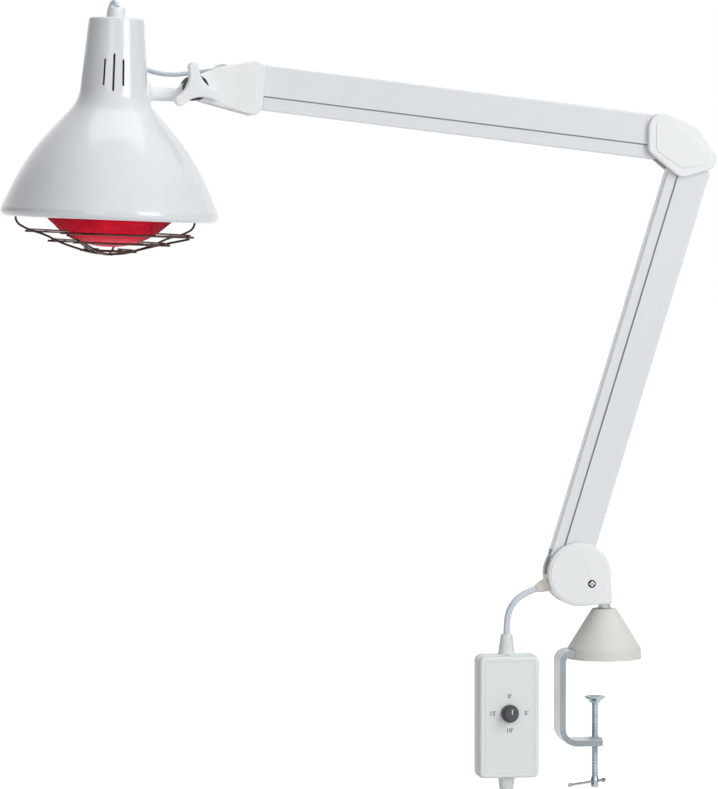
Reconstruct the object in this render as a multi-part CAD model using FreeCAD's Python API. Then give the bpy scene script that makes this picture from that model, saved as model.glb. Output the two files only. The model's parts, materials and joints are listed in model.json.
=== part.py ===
import FreeCAD, Part
import math
import os

# Infrared heat lamp on a two-part parallel arm, with a table clamp and a timer box on its lead.
# Millimetres. X to the right along the arms, Z up, front towards -Y.
# The origin is on the swivel axis, in the plane of the upper jaw's lower face.

V = FreeCAD.Vector
os.makedirs("parts", exist_ok=True)
parts = {}

# ---------------------------------------------------------------- fits
run_fit = 0.05       # radial clearance of a pin that turns or slides
air = 0.3            # space between pieces that only pass each other

# ---------------------------------------------------------------- clamp
frame_w = 34.0
frame_t = 6.1
spine_x = -48.5      # outer face of the clamp's back
upper_bend = 12.0    # outer radius of the bend at the top
lower_bend = 18.0
pad_sheet = 3.6      # rubber pad under the upper jaw
pad_sheet_r = 30.0
jaw_open = 81.4      # from the upper jaw's face down to the lower jaw
jaw_end_x = -2.6
jaw_corner = 9.0
upper_end_x = 14.0
boss_r = 7.5
boss_rise = 1.4
spindle_x = -9.4
spindle_r = 3.3
spindle_low = -130.8
spindle_head_r = 4.0
spindle_head_h = 10.0
pad_top = -38.4
pad_r = 10.7
pad_h = 6.2
pad_dish = 2.2
pad_seat = 2.4       # depth of the spindle's tip in the pad
bar_r = 1.5
bar_long = 57.3
bar_shift = 13.0     # the bar rests slid towards its front end
bar_turn = 221.0     # direction of the bar's front end, seen from above
bar_up = 5.9         # height of the bar's axis over the spindle's end
bar_head_r = 2.3
bar_head_h = 2.5

# ---------------------------------------------------------------- cone and swivel
cone_r = 37.6
cone_band_r = 36.9
cone_band_h = 11.0
cone_h = 50.7
cone_top_r = 12.2
cone_wall = 2.5
cone_round = 3.0
socket_wall = 1.6
bush_wall = 1.0
bush_flange = 1.5
bush_flange_r = 8.8
socket_h = 36.0
pin_r = 6.35
pin_foot = 12.0
neck_top = 55.6      # shoulder that carries the arm
spigot_r = 3.8
spigot_h = 18.0

# ---------------------------------------------------------------- arms
arm_pitch = 420.0    # pivot to pivot
lower_spread = 19.2  # across the arm, between its outer and inner pivots
upper_spread = 22.0
outer_seat = 13.6    # from a channel's pivots to its back
inner_seat = 9.6
outer_wall_h = 30.8
inner_wall_h = 20.0
sheet = 1.2
bend_r = 2.0
outer_pivot = 9.0    # from the arm's datum line
outer_lug = 8.0
inner_lug = 6.5
channel_corner = 6.0
web_back = 9.0       # the back of a channel starts this far from its end
core_half = 7.0      # half the width of the castings between the channels
inner_gap = 0.4
nest_gap = 0.6
cover_gap = 0.6
pivot_r = 3.0
pin_head_r = 3.7
pin_head_h = 1.2

inner_half = core_half + inner_gap + sheet
outer_half = inner_half + nest_gap + sheet
cover_in = outer_half + cover_gap
cover_out = 17.0
cover_face = 2.0
cover_rim = 1.5
cover_round = 1.8
panel_rise = 0.8
panel_round = 0.6

lower_lean = 17.15   # of the lower arm, from upright
upper_slope = 6.95   # of the upper arm, from level
foot_x = -38.9       # where the lower arm's datum line starts
foot_z = 97.0
elbow_dx = -30.25    # from the lower arm's end to the upper arm's start
elbow_dz = 26.7
knuckle_dx = -54.0   # from the upper arm's end to the head's hinge
knuckle_dz = -2.4

spring_r = 5.0
spring_start = 12.0
spring_long = 168.0
spring_wire = 1.3
spring_z = 1.2

# ---------------------------------------------------------------- base joint
disc_x = -28.4
disc_z = 86.4
disc_r = 32.2
tab_x = 5.1
tab_z = 56.2
tab_round = 3.0
rim_t = 3.0
rim_inset = 0.8
rim_from = 182.0
rim_to = 290.0
web_half = 3.0
block_left = -9.0
block_right = 5.0
block_h = 20.0
screw_x = -16.3
screw_z = 76.9
screw_r = 2.0
screw_head_r = 3.7
screw_head_h = 2.6
screw_boss_r = 4.2
disc_ring_r = 9.5
outlet_turn = 200.0  # direction of the lead's outlet, seen from the front
outlet_r = 5.4
outlet_long = 12.0
outlet_tip_r = 4.7

# ---------------------------------------------------------------- head joint
knuckle_r = 10.0
tongue_half = 5.0
ear_half = 10.3
bolt_r = 3.9
washer_r = 12.4
washer_t = 1.6
cover_scoop = 13.2
knob_hub_r = 9.5
knob_plate = 9.2
knob_reach = 20.5    # centre of a lobe's round end
knob_lobe_r = 5.4
knob_waist = 9.6
knob_turn = 98.0     # direction of the first lobe
knob_round = 2.4
nut_r = 6.4
nut_h = 4.6
nut_cap = 1.2
grommet_r = 4.6
grommet_flange = 5.6
grommet_long = 9.0

# ---------------------------------------------------------------- head
head_lean = 2.2
knuckle_u = 79.1     # the hinge, from the shade's top centre
knuckle_v = -66.1
shade_t = 1.2
neck_top_r = 27.3
neck_foot_r = 34.7   # where the neck's line meets the bell's line
neck_h = 83.0
bell_r = 84.8
bell_h = 139.0
rim_r = 108.0
rim_h = 191.6
rim_drop = 199.4
rim_lip = 4.0
top_round = 2.6
neck_fillet = 38.0
bell_round = 225.0
rim_round = 5.5
rim_shoulder = 8.0
slot_w = 2.0
slot_mid = -54.5
slot_long = 37.0
slot_short = 26.4
slot_step = 17.0     # degrees between the slots of a group
slot_turn = 263.0    # direction of the front group
slot_groups = 4
stub_v = -73.4
stub_r = 6.75
stub_flare_r = 13.5
stub_flare = 6.0
stub_start = 20.0
stub_end = 67.0
stub_screw_r = 2.4
stub_screw_pitch = 15.0
gland_r = 8.3
gland_h = 10.8
gland_flange = 0.5
lead_r = 2.4
tube_r = 5.0
tube_low = -26.0
holder_r = 21.5
holder_low = -75.0
holder_fit = 0.2       # between the bulb's cap and the holder's thread
cap_r = 13.2
cap_top = -46.0
cap_low = -73.0
bulb_neck_r = 19.0
bulb_neck = -88.0
bulb_flare = -106.0
bulb_side = -176.0
bulb_face_round = 80.0
bulb_r = 62.5
bulb_wide = -199.5
bulb_low = -226.4
bulb_wall = 1.1
filament_z = -170.0

# ---------------------------------------------------------------- guard
wire_r = 1.1
leg_in = 15.2          # from the shade's rim to a leg
leg_r = rim_r - leg_in
leg_rise = 7.0         # above the rim's lower face
leg_drop = 6.0
leg_turns = (176.5, 121.5, 76.5, 18.0)
short_turns = (-28.5, -123.5)
shoulder_in = 14.0     # from a leg to the rib's next bend
shoulder_drop = 7.2
ring_share = (0.948, 0.668, 0.269)  # corner radius of each ring, as a share of the legs' circle
ring_reach = [leg_r * share for share in ring_share]
ring_over = 6.0
ring_turn = 146.5                   # direction of a ring's first corner
ring_drop = (-213.9, -222.8, -230.6)
rib_share = 0.74                    # where a rib passes under a ring, as a share of its reach
guard_low = -233.8
weld = 0.4

# ---------------------------------------------------------------- timer
timer_x = -99.4
timer_top = 5.4
timer_w = 63.0
timer_l = 125.0
timer_lid_t = 11.0
timer_base_t = 17.0
timer_corner = 7.0
timer_edge = 2.2
lid_step = 1.3
timer_wall = 2.2
dial_up = 4.0        # of the knob over the middle of the box
skirt_r = 9.0
skirt_h = 3.0
knob_r = 6.6
knob_top_r = 6.0
knob_h = 14.5
flutes = 12
shaft_r = 3.0
unit_w = 40.0
unit_t = 11.0
relief_r = 8.6
relief_tip_r = 5.9
relief_long = 20.0
relief_grooves = 14
cable_r = 3.3

# ---------------------------------------------------------------- mains lead
drop_long = 34.0
tail_long = 22.0
coil_mid_r = 38.0
coil_half = 10.0
coil_round = 4.0
tie_t = 1.2
tie_h = 9.0
plug_relief = 24.0
plug_tip_r = 4.6
plug_neck_r = 7.5
plug_r = 18.4
plug_h = 21.0
plug_pin_r = 2.4
plug_pin_long = 19.0
plug_pin_pitch = 19.0
plug_anchor_r = 1.9    # a pin's shank inside the plug
plug_anchor = 8.0
pin_shoulder = 0.3     # from the plug's face to a pin's full width


# ---------------------------------------------------------------- shapes
def rod(radius, start, end):
    """A round bar between two points."""
    return Part.makeCylinder(radius, (end - start).Length, start, end - start)


def block(x0, x1, y0, y1, z0, z1):
    return Part.makeBox(x1 - x0, y1 - y0, z1 - z0, V(x0, y0, z0))


def wire_through(points, radii, closed):
    """Straight runs between the points, joined by tangent arcs of the given radii."""
    n = len(points)
    stops = []
    for i, p in enumerate(points):
        if radii[i] == 0 or (not closed and i in (0, n - 1)):
            stops.append((p, None, p))
            continue
        a = (points[i - 1] - p).normalize()
        b = (points[(i + 1) % n] - p).normalize()
        half = a.getAngle(b) / 2
        trim = radii[i] / math.tan(half)
        middle = (a + b).normalize() * (radii[i] / math.sin(half) - radii[i])
        stops.append((p + a * trim, p + middle, p + b * trim))
    edges = []
    for i, (start, middle, end) in enumerate(stops):
        if middle:
            edges.append(Part.Arc(start, middle, end).toShape())
        if (closed or i < n - 1) and (stops[(i + 1) % n][0] - end).Length > 1e-6:
            edges.append(Part.LineSegment(end, stops[(i + 1) % n][0]).toShape())
    return Part.Wire(edges)


def widest_bends(points):
    """The largest tangent radius that the runs beside each corner allow."""
    radii = [0] * len(points)
    for i in range(1, len(points) - 1):
        a, b = points[i] - points[i - 1], points[i + 1] - points[i]
        radii[i] = 0.45 * min(a.Length, b.Length) / math.tan(a.getAngle(b) / 2)
    return radii


def inset(points, radii, margin):
    """A turned sheet's line moved inwards; the line runs outwards and down from the axis."""
    ways = []
    for (r0, z0), (r1, z1) in zip(points, points[1:]):
        far = math.hypot(r1 - r0, z1 - z0)
        ways.append(((r1 - r0) / far, (z1 - z0) / far))
    moved, rounds = [], []
    for i, (r, z) in enumerate(points):
        a, b = ways[max(i - 1, 0)], ways[min(i, len(ways) - 1)]
        k = margin / (1 + a[0] * b[0] + a[1] * b[1])
        moved.append((r + k * (a[1] + b[1]), z - k * (a[0] + b[0])))
        turn = a[0] * b[1] - a[1] * b[0]
        rounds.append(radii[i] - math.copysign(margin, -turn) if radii[i] and turn else 0)
    return moved, rounds


def lathe(profile, radii=None):
    """Turns a closed profile of (radius, height) corners about the Z axis."""
    points = [V(r, 0, z) for r, z in profile]
    wire = wire_through(points, radii or [0] * len(points), True)
    return Part.Face(wire).revolve(V(0, 0, 0), V(0, 0, 1), 360)


def hull_wire(circles, y):
    """The outline round a ring of circles (x, z, r), given counter-clockwise as seen from the front."""
    n = len(circles)
    leave, arrive = [None] * n, [None] * n
    for i in range(n):
        x0, z0, r0 = circles[i]
        x1, z1, r1 = circles[(i + 1) % n]
        far = math.hypot(x1 - x0, z1 - z0)
        dx, dz = (x1 - x0) / far, (z1 - z0) / far
        k = (r0 - r1) / far
        q = math.sqrt(1 - k * k)
        leave[i] = arrive[(i + 1) % n] = (dx * k + dz * q, dz * k - dx * q)
    edges = []
    for i in range(n):
        x, z, r = circles[i]
        a0 = math.atan2(arrive[i][1], arrive[i][0])
        turn = (math.atan2(leave[i][1], leave[i][0]) - a0) % (2 * math.pi)
        ends = [V(x + r * math.cos(a0 + turn * t), y, z + r * math.sin(a0 + turn * t)) for t in (0, 0.5, 1)]
        if turn > 1e-4:
            edges.append(Part.Arc(*ends).toShape())
        x1, z1, r1 = circles[(i + 1) % n]
        end = V(x1 + r1 * leave[i][0], y, z1 + r1 * leave[i][1])
        edges.append(Part.LineSegment(ends[2], end).toShape())
    return Part.Wire(edges)


def plate(circles, y0, y1):
    """A flat plate between two depths, with the outline round the circles."""
    if len(circles) == 1:
        x, z, r = circles[0]
        return rod(r, V(x, y0, z), V(x, y1, z))
    return Part.Face(hull_wire(circles, y0)).extrude(V(0, y1 - y0, 0))


def less(circles, margin):
    return [(x, z, r - margin) for x, z, r in circles]


def flat_edges(shape, y):
    """The edges that lie wholly at one depth."""
    return [e for e in shape.Edges if abs(e.BoundBox.YMin - y) < 1e-4 and abs(e.BoundBox.YMax - y) < 1e-4]


def cover(outline, panel):
    """A dished cover for the front side, open towards the arm, with a raised panel."""
    skin = plate(outline, -cover_out, -cover_in)
    skin = skin.makeFillet(cover_round, flat_edges(skin, -cover_out))
    hollow = plate(less(outline, cover_rim), -cover_out + cover_face, -cover_in + 1)
    raised = plate(panel, -cover_out - panel_rise, -cover_out + 0.5)
    raised = raised.makeFillet(panel_round, flat_edges(raised, -cover_out - panel_rise))
    return skin.cut(hollow).fuse(raised).removeSplitter()


def mirrored(shape):
    return shape.mirror(V(0, 0, 0), V(0, 1, 0))


def group(*shapes):
    return Part.makeCompound(list(shapes))


# ---------------------------------------------------------------- where things are
class Arm:
    """One arm: its own X runs from pivot to pivot, and its own Z points to the inner channel."""

    def __init__(self, x, z, turn, spread):
        self.x, self.z, self.turn = x, z, turn
        self.inner = spread - outer_pivot

    def place(self, shape):
        shape = shape.copy()
        shape.rotate(V(0, 0, 0), V(0, 1, 0), self.turn)
        shape.translate(V(self.x, 0, self.z))
        return shape

    def at(self, along, across):
        a = math.radians(self.turn)
        return (self.x + along * math.cos(a) + across * math.sin(a),
                self.z - along * math.sin(a) + across * math.cos(a))


lower = Arm(foot_x, foot_z, lower_lean - 90, lower_spread)
end_x, end_z = lower.at(arm_pitch, 0)
upper = Arm(end_x + elbow_dx, end_z + elbow_dz, upper_slope + 180, upper_spread)
tip_x, tip_z = upper.at(arm_pitch, 0)
knuckle_x, knuckle_z = tip_x + knuckle_dx, tip_z + knuckle_dz

base_outer, base_inner = lower.at(0, -outer_pivot), lower.at(0, lower.inner)
elbow_low_outer, elbow_low_inner = lower.at(arm_pitch, -outer_pivot), lower.at(arm_pitch, lower.inner)
elbow_up_outer, elbow_up_inner = upper.at(0, -outer_pivot), upper.at(0, upper.inner)
head_outer, head_inner = upper.at(arm_pitch, -outer_pivot), upper.at(arm_pitch, upper.inner)

lean = math.radians(head_lean)
shade_x = knuckle_x - (knuckle_u * math.cos(lean) + knuckle_v * math.sin(lean))
shade_z = knuckle_z - (knuckle_v * math.cos(lean) - knuckle_u * math.sin(lean))


def on_head(shape):
    """From the shade's own upright frame, with its top centre at the origin, to its place."""
    shape = shape.copy()
    shape.rotate(V(0, 0, 0), V(0, 1, 0), head_lean)
    shape.translate(V(shade_x, 0, shade_z))
    return shape


# ---------------------------------------------------------------- clamp
def clamp():
    bar_z = pad_sheet + frame_t
    low_z = -jaw_open - frame_t
    far = 40.0
    outer = [(spine_x + upper_bend, bar_z - upper_bend, upper_bend),
             (spine_x + lower_bend, low_z + lower_bend, lower_bend),
             (far, low_z + 1, 1), (far, bar_z - 1, 1)]
    inner = [(x, z, r - frame_t) for x, z, r in outer[:2]]
    inner += [(far + 9, low_z + frame_t + 1, 1), (far + 9, bar_z - frame_t - 1, 1)]
    frame = plate(outer, -frame_w / 2, frame_w / 2).cut(plate(inner, -frame_w, frame_w))
    frame = frame.cut(block(jaw_end_x, far + 9, -frame_w, frame_w, low_z - 9, -jaw_open / 2))
    frame = frame.cut(block(upper_end_x, far + 9, -frame_w, frame_w, -jaw_open / 2, bar_z + 9))
    ends = [e for e in frame.Edges
            if abs(e.BoundBox.XMin - jaw_end_x) < 1e-4 and abs(e.BoundBox.XMax - jaw_end_x) < 1e-4
            and e.BoundBox.ZLength > frame_t / 2]
    frame = frame.makeFillet(jaw_corner - 1, ends)
    boss = rod(boss_r, V(spindle_x, 0, low_z - boss_rise), V(spindle_x, 0, -jaw_open + boss_rise))
    bore = rod(spindle_r + run_fit, V(spindle_x, 0, low_z - 9), V(spindle_x, 0, -jaw_open + 9))
    parts["clamp_frame"] = frame.fuse(boss).cut(bore).removeSplitter()

    socket_r = pin_r + run_fit + bush_wall
    tube = rod(socket_r + socket_wall, V(0, 0, bar_z), V(0, 0, bar_z + socket_h))
    parts["pin_socket"] = tube.cut(rod(socket_r, V(0, 0, bar_z + 1), V(0, 0, cone_h)))
    top = bar_z + socket_h
    bush = rod(socket_r, V(0, 0, bar_z + 1), V(0, 0, top))
    bush = bush.fuse(rod(bush_flange_r, V(0, 0, top), V(0, 0, top + bush_flange)))
    bush = bush.cut(rod(pin_r + run_fit, V(0, 0, pin_foot - 0.1), V(0, 0, cone_h)))
    parts["socket_bush"] = bush
    parts["jaw_pad"] = rod(pad_sheet_r, V(0, 0, 0), V(0, 0, pad_sheet))

    skin = lathe([(pin_r + 0.6, cone_h), (cone_top_r, cone_h), (cone_band_r, cone_band_h), (cone_r, 0),
                  (cone_r - cone_wall, 0), (cone_band_r - cone_wall - 0.5, cone_band_h - 1),
                  (cone_top_r - 1.2, cone_h - cone_wall), (pin_r + 0.6, cone_h - cone_wall)],
                 [0, cone_round, 4, 0, 0, 2, 0, 0])
    window = block(-cone_r - 5, 0, -frame_w / 2 - air, frame_w / 2 + air, pad_sheet - air, bar_z + air)
    parts["cone_cover"] = skin.cut(window)

    low = pad_top - pad_h
    parts["clamp_pad"] = lathe(
        [(0, pad_top - pad_dish), (pad_r - 1.6, pad_top), (pad_r, pad_top), (pad_r, pad_top - 1.3),
         (spindle_r + 2.6, low + 1.2), (spindle_r + 2.2, low), (spindle_r + run_fit, low),
         (spindle_r + run_fit, low + pad_seat), (0, low + pad_seat)]
    ).translate(V(spindle_x, 0, 0))
    tip = low + pad_seat - run_fit
    screw = lathe([(0, tip), (spindle_r - 0.5, tip), (spindle_r, tip - 0.5),
                   (spindle_r, spindle_low + spindle_head_h), (spindle_head_r, spindle_low + spindle_head_h - 0.8),
                   (spindle_head_r, spindle_low + 0.8), (spindle_head_r - 0.8, spindle_low), (0, spindle_low)])
    screw.translate(V(spindle_x, 0, 0))
    turn = math.radians(bar_turn)
    way = V(math.cos(turn), math.sin(turn), 0)
    middle = V(spindle_x, 0, spindle_low + bar_up)
    parts["clamp_spindle"] = screw.cut(rod(bar_r + run_fit, middle - way * 9, middle + way * 9))
    front = middle + way * (bar_long / 2 + bar_shift)
    back = middle - way * (bar_long / 2 - bar_shift)
    bar = rod(bar_r, back, front)
    for end, sign in ((front, -1), (back, 1)):
        head = Part.makeCylinder(bar_head_r, bar_head_h, end, way * sign)
        bar = bar.fuse(head)
    parts["tommy_bar"] = bar


# ---------------------------------------------------------------- arms
def channel(name, arm, side, seat, depth, half, pivot, lug):
    """A bent sheet channel. side is -1 for the outer one, whose back is at its own -Z."""
    back = pivot + side * seat
    lip = back - side * depth
    c = channel_corner
    low, high = min(back, lip), max(back, lip)
    outline = [(c, low + c, c), (arm_pitch - c, low + c, c), (arm_pitch - c, high - c, c), (c, high - c, c)]
    silhouette = plate(outline, -half - 1, half + 1)
    for s in (0, arm_pitch):
        silhouette = silhouette.fuse(plate([(s, pivot, lug)], -half - 1, half + 1))
    inside = back - side * sheet
    corners = [(-half, lip), (-half, back), (half, back), (half, lip),
               (half - sheet, lip), (half - sheet, inside), (-half + sheet, inside), (-half + sheet, lip)]
    section = wire_through([V(-lug, y, z) for y, z in corners],
                           [0, bend_r, bend_r, 0, 0, bend_r - sheet, bend_r - sheet, 0], True)
    body = Part.Face(section).extrude(V(arm_pitch + 2 * lug, 0, 0)).common(silhouette)
    z0, z1 = sorted((back + side, inside - side * bend_r))
    for s, away in ((0, -1), (arm_pitch, 1)):
        ends = sorted((s + away * 30, s - away * web_back))
        body = body.cut(block(ends[0], ends[1], -half + sheet, half - sheet, z0, z1))
        body = body.cut(rod(pivot_r + run_fit, V(s, -half - 1, pivot), V(s, half + 1, pivot)))
    parts[name] = arm.place(body)


def arm_parts(name, arm):
    channel(name + "_outer_channel", arm, -1, outer_seat, outer_wall_h, outer_half, -outer_pivot, outer_lug)
    channel(name + "_inner_channel", arm, 1, inner_seat, inner_wall_h, inner_half, arm.inner, inner_lug)
    # the balance spring hooks round the outer pivot's pin and a cross pin in the outer channel
    start, end = spring_start, spring_start + spring_long
    coil = rod(spring_r, V(start, 0, -outer_pivot + spring_z), V(end, 0, -outer_pivot + spring_z))
    coil = coil.cut(rod(spring_r - spring_wire, V(start - 1, 0, -outer_pivot + spring_z),
                        V(end + 1, 0, -outer_pivot + spring_z)))
    cross = end + 8
    for x0, x1 in ((start - 3, start + 1), (end - 1, cross - pivot_r - air)):
        z = -outer_pivot + spring_z
        coil = coil.fuse(block(x0, x1, -spring_wire, spring_wire, z - spring_r + 0.4, z + spring_r - 0.4))
    parts[name + "_spring"] = arm.place(coil)
    pin = rod(pivot_r - 0.5, V(cross, -outer_half + sheet, -outer_pivot + spring_z),
              V(cross, outer_half - sheet, -outer_pivot + spring_z))
    parts[name + "_spring_pin"] = arm.place(pin)


def pivots(outer_at, inner_at):
    """The headed pin of the outer channel and the plain pin of the inner one."""
    shapes = []
    reach = outer_half + 0.2
    for x, z in outer_at:
        pin = rod(pivot_r, V(x, -reach, z), V(x, reach, z))
        for sign in (-1, 1):
            pin = pin.fuse(rod(pin_head_r, V(x, sign * reach, z), V(x, sign * (reach + pin_head_h), z)))
        shapes.append(pin)
    for x, z in inner_at:
        reach_in = outer_half - sheet - nest_gap / 2
        shapes.append(rod(pivot_r, V(x, -reach_in, z), V(x, reach_in, z)))
    return group(*shapes)


def bored(core, places):
    for x, z in places:
        core = core.cut(rod(pivot_r, V(x, -core_half - 1, z), V(x, core_half + 1, z)))
    return core


# ---------------------------------------------------------------- base joint
def base_joint():
    top = neck_top + spigot_h
    pin = lathe([(0, pin_foot), (pin_r - 1, pin_foot), (pin_r, pin_foot + 1), (pin_r, neck_top),
                 (spigot_r, neck_top), (spigot_r, top), (0, top)])
    parts["swivel_pin"] = pin
    knee = (base_outer[0] + 4, neck_top + 18.5, 8)
    core = plate([(base_inner[0], base_inner[1], 5.5), knee, (base_outer[0], base_outer[1], 8)],
                 -core_half, core_half)
    foot = plate([knee, (block_left + 7, neck_top + 8, 7), (screw_x + 4, screw_z - 3, 6)], -core_half, core_half)
    web = plate([(disc_x, disc_z, disc_r - rim_inset)], -web_half, web_half)
    web = web.cut(block(disc_x - 40, disc_x + 40, -9, 9, disc_z - 3, disc_z + 60))
    web = web.cut(block(block_right, disc_x + 60, -9, 9, 0, disc_z))
    web = web.cut(block(disc_x - 40, disc_x + 60, -9, 9, 0, neck_top))
    outer_r = disc_r - rim_inset
    rim = Part.makeCylinder(outer_r, 2 * (cover_in - 0.2), V(0, 0, 0), V(0, 0, 1), rim_to - rim_from)
    rim = rim.cut(Part.makeCylinder(outer_r - rim_t, 3 * cover_in, V(0, 0, -1), V(0, 0, 1)))
    rim.rotate(V(0, 0, 0), V(0, 0, 1), rim_from)
    rim.rotate(V(0, 0, 0), V(1, 0, 0), 90)
    rim.translate(V(disc_x, cover_in - 0.2, disc_z))
    rim = rim.cut(block(disc_x - 40, disc_x + 60, -20, 20, 0, neck_top))
    post = block(block_left, block_right, -cover_in + 0.2, cover_in - 0.2, neck_top, neck_top + block_h)
    casting = core.fuse([foot, web, rim, post])
    casting = casting.cut(rod(spigot_r, V(0, 0, neck_top - 1), V(0, 0, top)))
    for sign in (-1, 1):
        boss = rod(screw_boss_r, V(screw_x, 0, screw_z), V(screw_x, sign * (cover_out - cover_face), screw_z))
        casting = casting.fuse(boss)
    front_end = -cover_out - panel_rise
    casting = casting.cut(rod(screw_r, V(screw_x, -cover_out, screw_z), V(screw_x, -2, screw_z)))
    # the lead's outlet through the rim
    a = math.radians(outlet_turn)
    way = V(math.cos(a), 0, math.sin(a))
    centre = V(disc_x, 0, disc_z)
    mouth = centre + way * outer_r
    casting = casting.cut(rod(outlet_r, mouth - way * 9, mouth + way * 9))
    casting = bored(casting, (base_outer, base_inner))
    parts["base_bracket"] = casting.removeSplitter()
    bush = Part.makeCone(outlet_r + 1.6, outlet_tip_r, outlet_long - 2, mouth + way * 2, way)
    bush = bush.fuse(rod(outlet_r + 1.6, mouth + way * 0.1, mouth + way * 2))
    bush = bush.fuse(rod(outlet_r, mouth - way * 9, mouth + way * 2))
    parts["lead_bush"] = bush

    outline = [(disc_x, disc_z, disc_r), (tab_x - tab_round, tab_z + tab_round, tab_round)]
    face = cover(outline, [(disc_x, disc_z, disc_r - 2.6)])
    ring = rod(disc_ring_r, V(disc_x, front_end, disc_z), V(disc_x, front_end + 0.3, disc_z))
    ring = ring.cut(rod(disc_ring_r - 0.5, V(disc_x, front_end - 1, disc_z), V(disc_x, front_end + 1, disc_z)))
    face = face.cut(ring)
    parts["disc_cover_back"] = mirrored(face)
    seat = rod(screw_head_r + 0.15, V(screw_x, front_end - 1, screw_z), V(screw_x, front_end + 1.2, screw_z))
    hole = rod(screw_r + 0.2, V(screw_x, front_end, screw_z), V(screw_x, 0, screw_z))
    face = face.cut(seat).cut(hole)
    parts["disc_cover_front"] = face
    seat_y = front_end + 1.2
    head = rod(screw_head_r, V(screw_x, seat_y, screw_z), V(screw_x, seat_y - screw_head_h, screw_z))
    head = head.makeFillet(0.5, flat_edges(head, seat_y - screw_head_h))
    recess = Part.makeCylinder(1.9, 1.6, V(screw_x, seat_y - screw_head_h, screw_z), V(0, 1, 0))
    shank = rod(screw_r, V(screw_x, seat_y, screw_z), V(screw_x, -2.5, screw_z))
    parts["cover_screw"] = head.cut(recess).fuse(shank)
    parts["base_pins"] = pivots([base_outer], [base_inner])


# ---------------------------------------------------------------- elbow
def elbow():
    a, b = elbow_up_outer, elbow_up_inner
    c, d = elbow_low_outer, elbow_low_inner
    core = plate([(b[0], b[1], 5.5), (d[0], d[1], 5.2), (c[0], c[1], 7.0), (a[0], a[1], 7.0)],
                 -core_half, core_half)
    stays = []
    for x, z in ((c[0] + 4.0, c[1] + 15.0), (a[0] + 20.0, a[1] - 5.0)):
        stays.append(rod(4.0, V(x, -cover_out + cover_face, z), V(x, cover_out - cover_face, z)))
        stays.append(plate([(x, z, 4.0), ((a[0] + c[0]) / 2, (a[1] + c[1]) / 2, 4.0)], -web_half, web_half))
    core = core.fuse(stays)
    parts["elbow_frame"] = bored(core, (a, b, c, d)).removeSplitter()
    outline = [(b[0] - 3.7, b[1] + 3.5, 8.6), (d[0] + 2.2, d[1] - 1.5, 14.2), (c[0] + 5.8, c[1] + 7.9, 11.8),
               (c[0] - 15.5, c[1] + 23.2, 20.0), (a[0] + 0.9, a[1] - 0.2, 15.4)]
    panel = [(b[0] + 1.2, b[1] + 3.0, 5.4), (d[0] + 1.8, d[1] + 2.4, 9.2), (c[0] + 3.8, c[1] + 8.6, 7.4),
             (c[0] - 14.2, c[1] + 20.4, 13.6), (a[0] + 0.2, a[1] + 1.4, 7.6)]
    face = cover(outline, panel)
    parts["elbow_cap_front"] = face
    parts["elbow_cap_back"] = mirrored(face)
    parts["elbow_pins"] = pivots([a, c], [b, d])


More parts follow.
